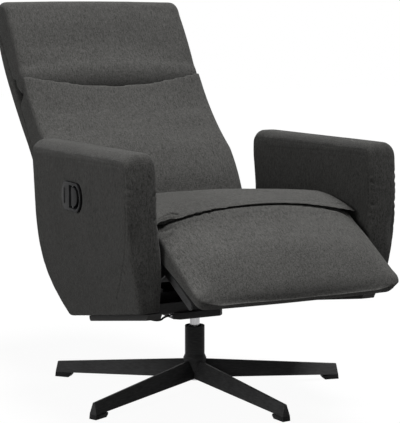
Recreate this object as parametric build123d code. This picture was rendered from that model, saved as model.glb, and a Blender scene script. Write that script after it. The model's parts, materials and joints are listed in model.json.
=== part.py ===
from build123d import *
from math import atan2, cos, degrees, hypot, radians, sin, tan
import os

# Star base swivel recliner, stored part-reclined with the legrest raised half way.
# Millimetres. +X is the sitter's left, the front looks along -Y, +Z is up.
# Everything is modelled about the swivel axis and moved on writing, so that the
# origin lies on the floor under the middle of the whole box.

# ---------------------------------------------------------------- driving sizes
SWIVEL_X, SWIVEL_Y = -9.1, -82.8    # where the swivel axis stands from the origin

GAP = 0.3                           # between neighbours that do not fit into each other
SOFT_GAP = 1.0                      # between cushions that roll past each other
RUNNING = 0.05                      # radial clearance of a shaft in its bore
WASHER_GAP = 2.0                    # between the link plates of the mechanism

# star base and column
BASE_RADIUS = 372.0                 # swivel axis to the outer edge of a foot
BASE_ARMS = 5
BASE_TURN = -11.3                   # direction of the first arm in the stored pose
STAR_ROOT_WIDTH, STAR_TIP_WIDTH, STAR_RIDGE = 34.0, 21.0, 6.0
STAR_ROOT_UNDERSIDE, STAR_ROOT_TOP = 30.0, 74.0
STAR_UNDERSIDE, STAR_TIP_TOP = 11.0, 38.0
STAR_END_LEAN = 7.0                 # degrees that an arm's end face leans back
FOOT_LENGTH, FOOT_CHAMFER = 42.0, 6.0
HUB_BOTTOM, HUB_BOTTOM_RADIUS = 27.0, 20.0
HUB_TOP, HUB_FLARE, HUB_SPIGOT = 82.0, 3.5, 12.0
TUBE_RADIUS, TUBE_WALL, TUBE_TOP = 24.0, 3.0, 157.0
TUBE_FOOT = 4.0                     # the hub's shoulder under the tube
SPINDLE_RADIUS = 12.0
BUSH_WALL = 2.0
UPPER_BUSH_LENGTH, UPPER_BUSH_RECESS = 12.0, 2.0
RACE_HEIGHT, BALL_RADIUS, BALL_COUNT = 2.0, 1.8, 14

# swivel plate and cross tubes
PLATE_BOTTOM, PLATE_HEIGHT, PLATE_SHEET = 180.0, 16.0, 4.0
PLATE_HALF_WIDTH, PLATE_FRONT, PLATE_BACK, PLATE_CORNER = 66.0, -30.0, 150.0, 12.0
CROSS_TUBE, CROSS_TUBE_WALL = 25.0, 2.5
CROSS_TUBE_YS = (-6.0, 126.0)       # middles of the front and rear cross tube
PLATE_BOLT_X, BOLT_RADIUS = 32.0, 4.0

# mechanism: pivots in the side view (y, z)
LEGREST_PIVOT = (-284.0, 411.0)
CRANK_PIVOT = (-90.0, 300.0)
BACK_PIVOT = (240.0, 438.0)
LEGREST_SLOPE = 26.0                # below level in the stored pose
RECLINE = 38.7                      # back from upright in the stored pose
CRANK_LENGTH, CRANK_REST = 60.0, 240.0
SHEET = 4.0                         # thickness of every mechanism plate
SIDE_PLATE_X = 236.0                # inner face of a side plate
PIN_RADIUS, SCREW_RADIUS = 5.0, 2.1
TORQUE_RADIUS, TORQUE_WALL, STUB_RADIUS = 12.5, 2.0, 8.0
RECLINE_PIN_RADIUS = 7.0
HINGE_CLEARANCE = 0.5               # the linkage's open pivot, at the legrest bracket

# seat
SEAT_HALF_WIDTH, SEAT_BOTTOM = 258.0, 378.0
SEAT_RIDGE_Y, SEAT_RIDGE_Z, SEAT_CROWN = -160.0, 490.0, 15.0
SEAT_REAR_TOP = 455.0
SEAT_LIP_SIDE, SEAT_LIP_MIDDLE, SEAT_LIP = 126.0, 112.0, 6.0   # where the front lip ends
SEAT_FRAME_HALF_WIDTH, SEAT_FRAME_FRONT, SEAT_FRAME_BACK = 212.0, -195.0, 190.0
SEAT_FRAME_RAIL, SEAT_FRAME_HEIGHT = 24.0, 30.0
WEBBING_THICKNESS, WEBBING_WIDTH, WEBBING_BANDS = 1.6, 50.0, 5

# legrest cushion, in its own level frame about its pivot
LEGREST_HALF_WIDTH = 254.0
KNUCKLE_SIDE, KNUCKLE_CROWN = 50.0, 29.0    # radius of its rolled end, and more in the middle
KNUCKLE_HOLLOW = 24.0
KNUCKLE_TOP = 108.0                 # angle at which the rolled end runs out into the top
LEGREST_FLAP = 2.0                  # world angle of the rolled end's rear edge
LEGREST_LENGTH, LEGREST_BOW = 244.0, 3.0
LEGREST_UNDER, LEGREST_TIP = 12.0, 18.0
NOSE_TOP, NOSE_CROWN = 37.0, 18.0
LEGREST_BOARD = 12.0
BOARD_HALF_WIDTH, BOARD_START, BOARD_END = 225.0, 84.0, 196.0
BRACKET_FLANGE = 3.0
LEGREST_SCREW_YS = (-115.0, -145.0, -175.0)

# back and headrest, in the back's own upright frame about its pivot
BACK_HALF_WIDTH = 258.0
LUMBAR_KNUCKLE, LUMBAR_CROWN = 25.0, 8.0
SLOT_INNER, SLOT_OUTER, SLOT_TOP = 222.0, 243.5, 84.0
CUSHION_BACK = 57.5                 # rear plane of the lumbar and head cushions
BACK_FRAME_THICKNESS, BACK_FRAME_HALF_WIDTH = 14.0, 227.7
BACK_SHELL_TOP, BACK_FRAME_TOP, BACK_FRAME_BOTTOM = 598.0, 560.0, 12.0
HEAD_PIVOT = (-52.0, 405.0)         # (forward, up)
HEAD_ROD_RADIUS = 5.0
HEAD_KNUCKLE, HEAD_CROWN = 60.0, 20.0
HEAD_KNUCKLE_END, HEAD_KNUCKLE_TOP = -64.0, 14.0    # angles from forward of the rolled end
HEAD_LIP_SIDE, HEAD_LIP_MIDDLE = -11.0, -40.0   # angles of the lumbar cushion's upper lip
HEAD_TOP = 243.0                    # above its pivot
HEAD_BOARD_HALF_WIDTH, HEAD_BOARD = 200.0, 9.0
HEAD_LOOP_XS, HEAD_LOOP_WIDTH = (-150.0, 0.0, 150.0), 30.0
BACK_SCREW_HEIGHTS = (75.0, 130.0, 190.0)

# arms
ARM_INNER, ARM_OUTER, ARM_BULGE = 265.0, 344.0, 1.5
ARM_BOARD = 16.5
ARM_BOTTOM_REAR, ARM_BOTTOM_FRONT = (38.0, 200.0), (-352.0, 272.0)
RAIL_OUTER, RAIL_THICKNESS = 290.0, 13.0
RAIL_REAR, RAIL_REAR_RADIUS = -30.0, 11.0
ARM_BOLT_YS, ARM_BOLT_Z = (-150.0, -20.0, 85.0), 318.0
ARM_BOLT_REACH = 40.0

# release latch in the outer face of the sitter's right arm
LATCH_Y, LATCH_Z = -62.0, 497.0
LATCH_LENGTH, LATCH_HEIGHT, LATCH_DEPTH = 109.0, 65.0, 26.0
LATCH_WALL, LATCH_RIM = 3.0, 3.0
LATCH_HINGE_Y = -60.0
LEVER_HALF_HEIGHT, LEVER_LENGTH, LEVER_THICKNESS = 21.0, 34.0, 5.0
CABLE_RADIUS, CABLE_CLEARANCE = 2.5, 0.6

# the release cable's route, from the latch down through the arm to the swivel plate
CABLE_ROUTE = [
    (-318.0, -30.0, 497.0), (-306.0, -30.0, 497.0), (-296.0, -36.0, 420.0), (-290.0, -66.0, 300.0),
    (-262.0, -76.0, 238.0), (-225.0, -66.0, 214.0), (-180.0, -34.0, 196.0), (-138.0, -8.0, 187.0),
    (-107.0, -26.0, 181.0), (-84.0, -10.0, 188.0), (-57.0, -10.0, 188.0),
]


# ---------------------------------------------------------------- helpers
def polar(radius, angle):
    """Point at a radius and an angle in degrees."""
    return (radius * cos(radians(angle)), radius * sin(radians(angle)))


def shifted(origin, offset):
    """Sum of two points of a side view."""
    return (origin[0] + offset[0], origin[1] + offset[1])


def outline(plane, start, *steps):
    """Closed face on a plane: a point is a line to it, a pair of points an arc through to."""
    edges, here = [], start
    for step in list(steps) + [start]:
        if isinstance(step[0], tuple):
            edges.append(ThreePointArc(here, step[0], step[1]))
            here = step[1]
        elif abs(step[0] - here[0]) + abs(step[1] - here[1]) > 1e-6:
            edges.append(Line(here, step))
            here = step
    return plane * make_face(edges)


def side_plane(x):
    """Side view plane at x, whose own axes are +Y and +Z."""
    return Plane(origin=(x, 0, 0), x_dir=(0, 1, 0), z_dir=(1, 0, 0))


def bar(start, end, radius):
    """Flat bar with round ends between two pivots, in the side view."""
    run, rise = end[0] - start[0], end[1] - start[1]
    middle = ((start[0] + end[0]) / 2, (start[1] + end[1]) / 2)
    slot = SlotCenterToCenter(hypot(run, rise), 2 * radius)
    return Pos(*middle) * Rot(0, 0, degrees(atan2(rise, run))) * slot


def plate(sketch, x0, thickness=SHEET):
    """A side-view sketch as a plate from x0 outwards."""
    return extrude(side_plane(x0) * sketch, thickness)


def pin(centre, radius, x0, x1):
    """Round pin along X through a side-view point."""
    return Pos((x0 + x1) / 2, centre[0], centre[1]) * Rot(0, 90, 0) * Cylinder(radius, x1 - x0)


def box(x0, x1, y0, y1, z0, z1):
    """Box between two corners."""
    return Pos((x0 + x1) / 2, (y0 + y1) / 2, (z0 + z1) / 2) * Box(x1 - x0, y1 - y0, z1 - z0)


def mirrored(shape):
    """The same piece for the sitter's right side."""
    return mirror(shape, Plane.YZ)


def across(half_width, inset, profile):
    """Solid lofted across X from side profiles: an evenly crowned middle and two rounded ends.

    profile(plane, side, cut) gives the face at a share of the half width, cut back by an amount.
    """
    def station(x, cut):
        return profile(side_plane(x), abs(x) / half_width, cut)

    body = half_width - inset
    solid = loft([station(body * share, 0.0) for share in (-1.0, -0.5, 0.0, 0.5, 1.0)])
    for sign in (-1, 1):
        ends = ((0.0, 0.0), (0.6, 0.25), (1.0, 0.85))
        solid += loft([station(sign * (body + inset * out), inset * cut) for out, cut in ends])
    return solid


def crown(side):
    """Share of the full crown at a share of the half width."""
    return 1.0 - side ** 2


def legrest_place(shape):
    """From the legrest's level frame to its stored pose."""
    return Pos(0, *LEGREST_PIVOT) * Rot(LEGREST_SLOPE, 0, 0) * shape


def back_place(shape):
    """From the back's upright frame to its stored pose."""
    return Pos(0, *BACK_PIVOT) * Rot(-RECLINE, 0, 0) * shape


def forward(t, s):
    """Point of the back's own frame, t forward and s up, as (y, z)."""
    return (-t, s)


# ---------------------------------------------------------------- star base
def hub_wall():
    """Outer line of the hub in its half section: a cone, then the flare under the tube."""
    neck = TUBE_RADIUS + 0.5
    return ((HUB_BOTTOM_RADIUS, HUB_BOTTOM), (neck, STAR_ROOT_TOP - 12),
            (neck + HUB_FLARE, STAR_ROOT_TOP))


def base_hub():
    bore, inside = SPINDLE_RADIUS + RUNNING + BUSH_WALL, TUBE_RADIUS - TUBE_WALL
    foot, top = HUB_TOP + TUBE_FOOT, HUB_TOP + HUB_SPIGOT
    flare = TUBE_RADIUS + 0.5 + HUB_FLARE
    profile = outline(Plane.XZ, (bore, HUB_BOTTOM), *hub_wall(), (flare, STAR_ROOT_TOP + 3),
                      (TUBE_RADIUS, foot), (inside, foot), (inside, top), (bore, top))
    return revolve(profile, Axis.Z)


def star_arm(index):
    lean = radians(STAR_END_LEAN)
    root = outline(Plane(origin=(5, 0, 0), x_dir=(0, 1, 0), z_dir=(1, 0, 0)),
                   (-STAR_ROOT_WIDTH / 2, STAR_ROOT_UNDERSIDE), (STAR_ROOT_WIDTH / 2, STAR_ROOT_UNDERSIDE),
                   (STAR_RIDGE / 2, STAR_ROOT_TOP), (-STAR_RIDGE / 2, STAR_ROOT_TOP))
    tip = outline(Plane(origin=(BASE_RADIUS, 0, 0), x_dir=(0, 1, 0), z_dir=(cos(lean), 0, sin(lean))),
                  (-STAR_TIP_WIDTH / 2, STAR_UNDERSIDE / cos(lean)),
                  (STAR_TIP_WIDTH / 2, STAR_UNDERSIDE / cos(lean)),
                  (STAR_RIDGE / 2, STAR_TIP_TOP / cos(lean)), (-STAR_RIDGE / 2, STAR_TIP_TOP / cos(lean)))
    arm = loft([root, tip], ruled=True)
    half = 180.0 / BASE_ARMS
    reach = BASE_RADIUS * 1.5
    wedge = extrude(make_face(Polyline((0, 0), (reach, -reach * tan(radians(half))),
                                       (reach, reach * tan(radians(half))), close=True)), TUBE_TOP)
    core = revolve(outline(Plane.XZ, (0, 0), (HUB_BOTTOM_RADIUS, 0), *hub_wall(), (0, STAR_ROOT_TOP)), Axis.Z)
    return Rot(0, 0, BASE_TURN + index * 360.0 / BASE_ARMS) * ((arm & wedge) - core)


def foot_glide(index):
    lean = tan(radians(STAR_END_LEAN))
    inner = BASE_RADIUS - FOOT_LENGTH
    profile = outline(Plane.XZ, (BASE_RADIUS, 0), (BASE_RADIUS - lean * STAR_UNDERSIDE, STAR_UNDERSIDE),
                      (inner, STAR_UNDERSIDE), (inner, FOOT_CHAMFER), (inner + FOOT_CHAMFER, 0))
    block = extrude(profile, STAR_TIP_WIDTH / 2, both=True)
    return Rot(0, 0, BASE_TURN + index * 360.0 / BASE_ARMS) * block


def ring(outer, inner, z0, z1):
    """Plain ring about the swivel axis."""
    return Pos(0, 0, (z0 + z1) / 2) * (Cylinder(outer, z1 - z0) - Cylinder(inner, z1 - z0))


def column_tube():
    tube = ring(TUBE_RADIUS, TUBE_RADIUS - TUBE_WALL, HUB_TOP + TUBE_FOOT, TUBE_TOP)
    return fillet(tube.edges().group_by(Axis.Z)[-1], 1.2)


def upper_bush():
    top = TUBE_TOP - UPPER_BUSH_RECESS
    return ring(TUBE_RADIUS - TUBE_WALL, SPINDLE_RADIUS + RUNNING, top - UPPER_BUSH_LENGTH, top)


def lower_bush():
    bore = SPINDLE_RADIUS + RUNNING
    return ring(bore + BUSH_WALL, bore, HUB_BOTTOM, HUB_TOP + HUB_SPIGOT)


BEARING_BOTTOM = HUB_TOP + HUB_SPIGOT
BEARING_TOP = BEARING_BOTTOM + 2 * RACE_HEIGHT + 2 * BALL_RADIUS + 0.1


def thrust_bearing():
    bore = SPINDLE_RADIUS + 1
    races = [ring(TUBE_RADIUS - TUBE_WALL - 1, bore, z, z + RACE_HEIGHT)
             for z in (BEARING_BOTTOM, BEARING_TOP - RACE_HEIGHT)]
    circle = (TUBE_RADIUS - TUBE_WALL - 1 + bore) / 2
    middle = (BEARING_BOTTOM + BEARING_TOP) / 2
    balls = [Pos(*polar(circle, i * 360.0 / BALL_COUNT), middle) * Sphere(BALL_RADIUS)
             for i in range(BALL_COUNT)]
    return races + balls


# ---------------------------------------------------------------- swivelling column and plate
PLATE_TOP = PLATE_BOTTOM + PLATE_HEIGHT
CLIP_TOP = HUB_BOTTOM - GAP


def column_spindle():
    bottom = CLIP_TOP - 5.2
    shaft = Pos(0, 0, (bottom + PLATE_TOP) / 2) * Cylinder(SPINDLE_RADIUS, PLATE_TOP - bottom)
    collar = ring(TUBE_RADIUS - TUBE_WALL - 2, SPINDLE_RADIUS - 1, BEARING_TOP + RUNNING, BEARING_TOP + 6)
    return shaft + collar - ring(SPINDLE_RADIUS + 5, SPINDLE_RADIUS - 1.5, CLIP_TOP - 4, CLIP_TOP - 2)


def spindle_clip():
    washer = ring(SPINDLE_RADIUS + 5.5, SPINDLE_RADIUS + RUNNING, CLIP_TOP - 2, CLIP_TOP)
    clip = ring(SPINDLE_RADIUS + 3.5, SPINDLE_RADIUS - 1.5, CLIP_TOP - 4, CLIP_TOP - 2)
    return [washer, clip - box(0, 30, -4, 4, 0, HUB_BOTTOM)]


def swivel_plate():
    outer = make_face(Polyline(
        (-PLATE_HALF_WIDTH, PLATE_BACK), (-PLATE_HALF_WIDTH, PLATE_FRONT + PLATE_CORNER),
        (-PLATE_HALF_WIDTH + PLATE_CORNER, PLATE_FRONT), (PLATE_HALF_WIDTH - PLATE_CORNER, PLATE_FRONT),
        (PLATE_HALF_WIDTH, PLATE_FRONT + PLATE_CORNER), (PLATE_HALF_WIDTH, PLATE_BACK), close=True))
    tray = extrude(Pos(0, 0, PLATE_BOTTOM) * outer, PLATE_HEIGHT)
    inner = extrude(Pos(0, 0, PLATE_BOTTOM) * offset(outer, -PLATE_SHEET, kind=Kind.INTERSECTION),
                    PLATE_HEIGHT - PLATE_SHEET)
    boss = ring(SPINDLE_RADIUS + 7, SPINDLE_RADIUS, PLATE_BOTTOM + 3, PLATE_TOP - PLATE_SHEET)
    holes = [Pos(x, y, PLATE_TOP) * Cylinder(BOLT_RADIUS + GAP, 20) for x, y in plate_bolt_places()]
    bore = Pos(0, 0, PLATE_TOP) * Cylinder(SPINDLE_RADIUS, 60)
    entry = Pos(-PLATE_HALF_WIDTH, CABLE_ROUTE[-1][1], CABLE_ROUTE[-1][2]) * Rot(0, 90, 0) * Cylinder(4, 20)
    return tray - inner + boss - bore - entry - holes


def plate_bolt_places():
    return [(x, y) for x in (-PLATE_BOLT_X, PLATE_BOLT_X) for y in CROSS_TUBE_YS]


def plate_bolts():
    bolts = []
    tube_top = PLATE_TOP + CROSS_TUBE
    for x, y in plate_bolt_places():
        head_top = PLATE_TOP - PLATE_SHEET
        head = extrude(Pos(x, y, head_top - 5) * RegularPolygon(7.5, 6), 5)
        shank = Pos(x, y, (head_top + tube_top + 8) / 2) * Cylinder(BOLT_RADIUS, tube_top + 8 - head_top)
        nut = extrude(Pos(x, y, tube_top) * RegularPolygon(7.5, 6), 6.5)
        bolts.append(head + shank + nut)
    return bolts


def cross_tube(y):
    half = SIDE_PLATE_X
    outer = box(-half, half, y - CROSS_TUBE / 2, y + CROSS_TUBE / 2, PLATE_TOP, PLATE_TOP + CROSS_TUBE)
    inside = CROSS_TUBE / 2 - CROSS_TUBE_WALL
    inner = box(-half - 1, half + 1, y - inside, y + inside, PLATE_TOP + CROSS_TUBE_WALL,
                PLATE_TOP + CROSS_TUBE - CROSS_TUBE_WALL)
    holes = [Pos(x, y, PLATE_TOP) * Cylinder(BOLT_RADIUS, 3 * CROSS_TUBE)
             for x in (-PLATE_BOLT_X, PLATE_BOLT_X)]
    return outer - inner - holes


# ---------------------------------------------------------------- mechanism sides
ARM_INNER_LOW = SIDE_PLATE_X + SHEET + ARM_BOARD + GAP
PLATE_KNEE = shifted(LEGREST_PIVOT, polar(112.0, 300.0))
PLATE_REAR = (150.0, PLATE_KNEE[1])
PLATE_HEEL = (BACK_PIVOT[0] + 5.0, PLATE_KNEE[1] + 27.0)


def side_plate():
    shape = (bar(LEGREST_PIVOT, PLATE_KNEE, 12) + bar(PLATE_KNEE, PLATE_REAR, 30)
             + bar(PLATE_REAR, PLATE_HEEL, 22) + bar(PLATE_HEEL, BACK_PIVOT, 18))
    foot_height = PLATE_KNEE[1] - PLATE_TOP
    for y in CROSS_TUBE_YS:
        shape += Pos(y, PLATE_TOP + foot_height / 2) * Rectangle(CROSS_TUBE + 34, foot_height)
    for centre, radius in ((LEGREST_PIVOT, PIN_RADIUS + RUNNING), (CRANK_PIVOT, STUB_RADIUS + RUNNING),
                           (BACK_PIVOT, RECLINE_PIN_RADIUS + RUNNING)):
        shape -= Pos(*centre) * Circle(radius)
    for y in ARM_BOLT_YS:
        shape -= Pos(y, ARM_BOLT_Z) * Circle(BOLT_RADIUS + GAP)
    return plate(shape, SIDE_PLATE_X)


def arm_board():
    x0 = SIDE_PLATE_X + SHEET
    board = box(x0, x0 + ARM_BOARD, -200, 150, 264, 360)
    board = chamfer(board.edges().filter_by(Axis.X), 14)
    for y in ARM_BOLT_YS:
        board -= pin((y, ARM_BOLT_Z), BOLT_RADIUS + GAP, x0 - 1, x0 + ARM_BOARD + 1)
    return board


def arm_bolts():
    bolts = []
    x0 = SIDE_PLATE_X
    for y in ARM_BOLT_YS:
        head = extrude(side_plane(x0 - 5.3) * Pos(y, ARM_BOLT_Z) * RegularPolygon(7.5, 6), 5.3)
        shank_end = x0 + SHEET + ARM_BOARD + ARM_BOLT_REACH - 1
        bolt = head + pin((y, ARM_BOLT_Z), BOLT_RADIUS, x0 - 5, shank_end)
        bolts += [bolt, mirrored(bolt)]
    return bolts


# ---------------------------------------------------------------- seat
WEBBING_TOP = SEAT_BOTTOM - GAP
SEAT_FRAME_TOP = WEBBING_TOP - WEBBING_THICKNESS


def seat_frame():
    z0 = SEAT_FRAME_TOP - SEAT_FRAME_HEIGHT
    inner = SEAT_FRAME_HALF_WIDTH - SEAT_FRAME_RAIL
    rails = [box(x, x + SEAT_FRAME_RAIL, SEAT_FRAME_FRONT, SEAT_FRAME_BACK, z0, SEAT_FRAME_TOP)
             for x in (-SEAT_FRAME_HALF_WIDTH, inner)]
    rails += [box(-inner, inner, y, y + SEAT_FRAME_RAIL, z0, SEAT_FRAME_TOP)
              for y in (SEAT_FRAME_FRONT, SEAT_FRAME_BACK - SEAT_FRAME_RAIL)]
    for y in (15.0, 115.0):
        lug = box(SEAT_FRAME_HALF_WIDTH, SIDE_PLATE_X, y, y + 40, z0, z0 + SHEET)
        ear = box(SIDE_PLATE_X - SHEET, SIDE_PLATE_X, y, y + 40, z0 - 36, z0)
        rails += [lug + ear, mirrored(lug + ear)]
    return rails


def seat_webbing():
    bands = []
    pitch = (SEAT_FRAME_BACK - SEAT_FRAME_FRONT - 40) / WEBBING_BANDS
    for i in range(WEBBING_BANDS):
        y = SEAT_FRAME_FRONT + 20 + (i + 0.5) * pitch
        bands.append(box(-SEAT_FRAME_HALF_WIDTH + 4, SEAT_FRAME_HALF_WIDTH - 4, y - WEBBING_WIDTH / 2,
                         y + WEBBING_WIDTH / 2, SEAT_FRAME_TOP, WEBBING_TOP))
    return bands


def knuckle(side):
    """Radius of the legrest's rolled end at a share of the half width."""
    return KNUCKLE_SIDE + KNUCKLE_CROWN * crown(side)


def lumbar_knuckle(side):
    """Radius of the lumbar cushion's rolled end at a share of the half width."""
    return LUMBAR_KNUCKLE + LUMBAR_CROWN * crown(side)


def seat_profile(plane, side, cut):
    front = knuckle(side) + SOFT_GAP
    rear = lumbar_knuckle(side) + SOFT_GAP
    lip = SEAT_LIP_SIDE + (SEAT_LIP_MIDDLE - SEAT_LIP_SIDE) * crown(side)
    lip_point = shifted(LEGREST_PIVOT, polar(front, lip))
    lip_top = shifted(LEGREST_PIVOT, polar(front + SEAT_LIP - 0.2 * cut, lip - 1.0))
    ridge = (SEAT_RIDGE_Y, SEAT_RIDGE_Z + SEAT_CROWN * crown(side) - cut)
    rear_lip = shifted(BACK_PIVOT, polar(rear, 168.0))
    rear_top = (rear_lip[0] - 8, SEAT_REAR_TOP - 0.5 * cut)
    bulge_front = ((ridge[0] + lip_top[0]) / 2, (ridge[1] + lip_top[1]) / 2 + 7.0)
    bulge_rear = ((ridge[0] + rear_top[0]) / 2, (ridge[1] + rear_top[1]) / 2 + 3.0)
    return outline(
        plane, lip_point,
        (shifted(LEGREST_PIVOT, polar(front, lip / 2 - 5)), shifted(LEGREST_PIVOT, polar(front, -10.0))),
        (SEAT_FRAME_FRONT - 3, SEAT_BOTTOM + 2 * cut), (205.0, SEAT_BOTTOM + 2 * cut),
        shifted(BACK_PIVOT, polar(rear, 214.0)),
        (shifted(BACK_PIVOT, polar(rear, 191.0)), rear_lip), rear_top,
        (bulge_rear, ridge), (bulge_front, lip_top))


def seat_cushion():
    return across(SEAT_HALF_WIDTH, 12.0, seat_profile)


# ---------------------------------------------------------------- legrest
def legrest_profile(plane, side, cut):
    radius = knuckle(side) - 0.4 * cut
    length = LEGREST_LENGTH + LEGREST_BOW * crown(side) - 0.8 * cut
    flap = LEGREST_FLAP - LEGREST_SLOPE
    lift = 2.0 * cut                # the sides are drawn in from below, most at the nose
    back, tip = polar(radius, KNUCKLE_TOP), (-length, LEGREST_TIP + 0.4 * cut)
    nose = (-length + 30, NOSE_TOP + NOSE_CROWN * crown(side) - 0.4 * cut)
    sole = (-length + 36, lift - LEGREST_UNDER)
    return outline(
        plane, polar(radius, flap), (polar(radius, (flap + KNUCKLE_TOP) / 2), back),
        (((back[0] + nose[0]) / 2, (back[1] + nose[1]) / 2 + 2.0), nose),
        ((-length + 8, (nose[1] + tip[1]) / 2 + 4), tip),
        ((-length + 10, (sole[1] + tip[1]) / 2 - 4 + 0.2 * cut), sole),
        (-70.0, 0.15 * lift - LEGREST_UNDER), (-KNUCKLE_HOLLOW, 0.0),
        (polar(KNUCKLE_HOLLOW, 135.0), (0.0, KNUCKLE_HOLLOW)),
        (polar(KNUCKLE_HOLLOW, 36.0), polar(KNUCKLE_HOLLOW, flap)))


def legrest_cushion():
    return legrest_place(across(LEGREST_HALF_WIDTH, 18.0, legrest_profile))


BOARD_TOP = -LEGREST_UNDER - GAP
BOARD_BOTTOM = BOARD_TOP - LEGREST_BOARD


def legrest_board():
    board = box(-BOARD_HALF_WIDTH, BOARD_HALF_WIDTH, -BOARD_END, -BOARD_START, BOARD_BOTTOM, BOARD_TOP)
    board = chamfer(board.edges().filter_by(Axis.Z), 10)
    for y in LEGREST_SCREW_YS:
        for x in (-LEGREST_SCREW_X, LEGREST_SCREW_X):
            board -= Pos(x, y, BOARD_BOTTOM) * Cylinder(SCREW_RADIUS, 20)
    return legrest_place(board)


BRACKET_X = SIDE_PLATE_X - WASHER_GAP - SHEET      # inner face of a legrest bracket
ROD_X = BRACKET_X - WASHER_GAP - SHEET             # inner face of a rod
CRANK_X = ROD_X - WASHER_GAP - SHEET               # inner face of a crank
BRACKET_LINK = polar(CRANK_LENGTH, CRANK_REST - LEGREST_SLOPE)
LEGREST_SCREW_X = BRACKET_X - 12


def legrest_bracket():
    """Bracket from the hinge pin to the board, with the eye that the rod pulls on."""
    foot_front, foot_back = (12 - BOARD_END, BOARD_BOTTOM - 9), (-BOARD_START - 20, BOARD_BOTTOM - 9)
    shape = (bar((0, 0), BRACKET_LINK, 11) + bar(BRACKET_LINK, foot_back, 9) + bar(foot_back, foot_front, 9)
             - Pos(*BRACKET_LINK) * Circle(PIN_RADIUS + HINGE_CLEARANCE))
    web = plate(shape, BRACKET_X)
    flange = box(BRACKET_X - 22, BRACKET_X + 1, 8 - BOARD_END, -BOARD_START - 12, BOARD_BOTTOM - BRACKET_FLANGE,
                 BOARD_BOTTOM)
    for y in LEGREST_SCREW_YS:
        flange -= Pos(LEGREST_SCREW_X, y, BOARD_BOTTOM) * Cylinder(SCREW_RADIUS + GAP, 20)
    top = box(BRACKET_X - 30, BRACKET_X + 30, -300, -BOARD_START + 20, BOARD_BOTTOM, BOARD_BOTTOM + 40)
    hinge_pin = pin((0, 0), PIN_RADIUS, BRACKET_X - 1, SIDE_PLATE_X + SHEET)
    return legrest_place((web + flange) - top + hinge_pin)


def legrest_screws():
    screws = []
    for y in LEGREST_SCREW_YS:
        head = Pos(LEGREST_SCREW_X, y, BOARD_BOTTOM - BRACKET_FLANGE - 1.2) * Cylinder(5, 2.4)
        shank = Pos(LEGREST_SCREW_X, y, BOARD_BOTTOM + 1) * Cylinder(SCREW_RADIUS - RUNNING, 12)
        screw = legrest_place(head + shank)
        screws += [screw, mirrored(screw)]
    return screws


# ---------------------------------------------------------------- torque tube, cranks and rods
ROD_REAR = shifted(CRANK_PIVOT, polar(CRANK_LENGTH, CRANK_REST))
ROD_FRONT = shifted(LEGREST_PIVOT, polar(CRANK_LENGTH, CRANK_REST))


def torque_tube():
    outer = pin(CRANK_PIVOT, TORQUE_RADIUS, -CRANK_X, CRANK_X)
    return outer - pin(CRANK_PIVOT, TORQUE_RADIUS - TORQUE_WALL, -CRANK_X - 1, CRANK_X + 1)


def crank():
    """Crank plate with the stub that turns in the side plate and the pin of its rod."""
    web = plate(bar(CRANK_PIVOT, ROD_REAR, 14), CRANK_X)
    stub = pin(CRANK_PIVOT, STUB_RADIUS, CRANK_X + 1, SIDE_PLATE_X + SHEET)
    rod_pin = pin(ROD_REAR, PIN_RADIUS, CRANK_X + 1, ROD_X + SHEET)
    return web + stub + rod_pin


def opening_spring():
    """Torsion spring wound on the torque tube."""
    turns, pitch, wire = 8, 8.0, 2.2
    radius = TORQUE_RADIUS + wire + GAP
    helix = Helix(pitch, turns * pitch, radius)
    coil = sweep(Plane(origin=helix @ 0, z_dir=helix % 0) * Circle(wire), path=helix, is_frenet=True)
    return Pos(60, *CRANK_PIVOT) * Rot(0, 90, 0) * coil


def rod():
    """Rod between the crank and the legrest bracket; its front pin has play in the bracket."""
    shape = bar(ROD_REAR, ROD_FRONT, 8) + Pos(*ROD_REAR) * Circle(10) + Pos(*ROD_FRONT) * Circle(10)
    shape -= Pos(*ROD_REAR) * Circle(PIN_RADIUS + RUNNING)
    return plate(shape, ROD_X) + pin(ROD_FRONT, PIN_RADIUS, ROD_X + 1, BRACKET_X + SHEET)


# ---------------------------------------------------------------- back
BACK_FRAME_FACE = -CUSHION_BACK - GAP
BACK_FRAME_REAR = BACK_FRAME_FACE - BACK_FRAME_THICKNESS


def head_knuckle(side):
    """Radius of the head cushion's rolled lower end at a share of the half width."""
    return HEAD_KNUCKLE + HEAD_CROWN * crown(side)


def head_lip(side):
    """Angle below forward at which the lumbar cushion's upper lip ends."""
    return HEAD_LIP_SIDE + (HEAD_LIP_MIDDLE - HEAD_LIP_SIDE) * crown(side)


def about_head(radius, angle):
    """Point of the back's frame at a radius and an angle above forward, about the head pivot."""
    t, s = polar(radius, angle)
    return forward(HEAD_PIVOT[0] + t, HEAD_PIVOT[1] + s)


def lumbar_profile(plane, side, cut):
    lower = lumbar_knuckle(side) - 0.7 * cut
    upper = head_knuckle(side) + SOFT_GAP
    lip = head_lip(side)
    rise = 3.0 + 10.0 * crown(side) - cut
    lip_t = HEAD_PIVOT[0] + polar(upper, lip)[0]
    lip_s = HEAD_PIVOT[1] + polar(upper, lip)[1]
    return outline(
        plane, forward(0.0, -lower), (forward(*polar(lower, -45.0)), forward(lower, 0.0)),
        (forward(35.0 + rise, 60.0), forward(37.0 + rise, 125.0)),
        (forward(12.0 + rise, 262.0), forward(lip_t + 5.0 - 0.2 * cut, lip_s - 9.0)),
        forward(lip_t, lip_s),
        (about_head(upper, (lip - 90.0) / 2), about_head(upper, -90.0)),
        forward(-CUSHION_BACK, HEAD_PIVOT[1] - upper), forward(-CUSHION_BACK, -lower + 6.0))


def lumbar_cushion():
    """Lower back cushion, slotted from behind for the recline brackets and the side plates."""
    cushion = across(BACK_HALF_WIDTH, 14.0, lumbar_profile)
    slot = box(SLOT_INNER, SLOT_OUTER, -LUMBAR_KNUCKLE + 5.5, 150, -100, SLOT_TOP)
    return back_place(cushion - slot - mirrored(slot))


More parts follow.
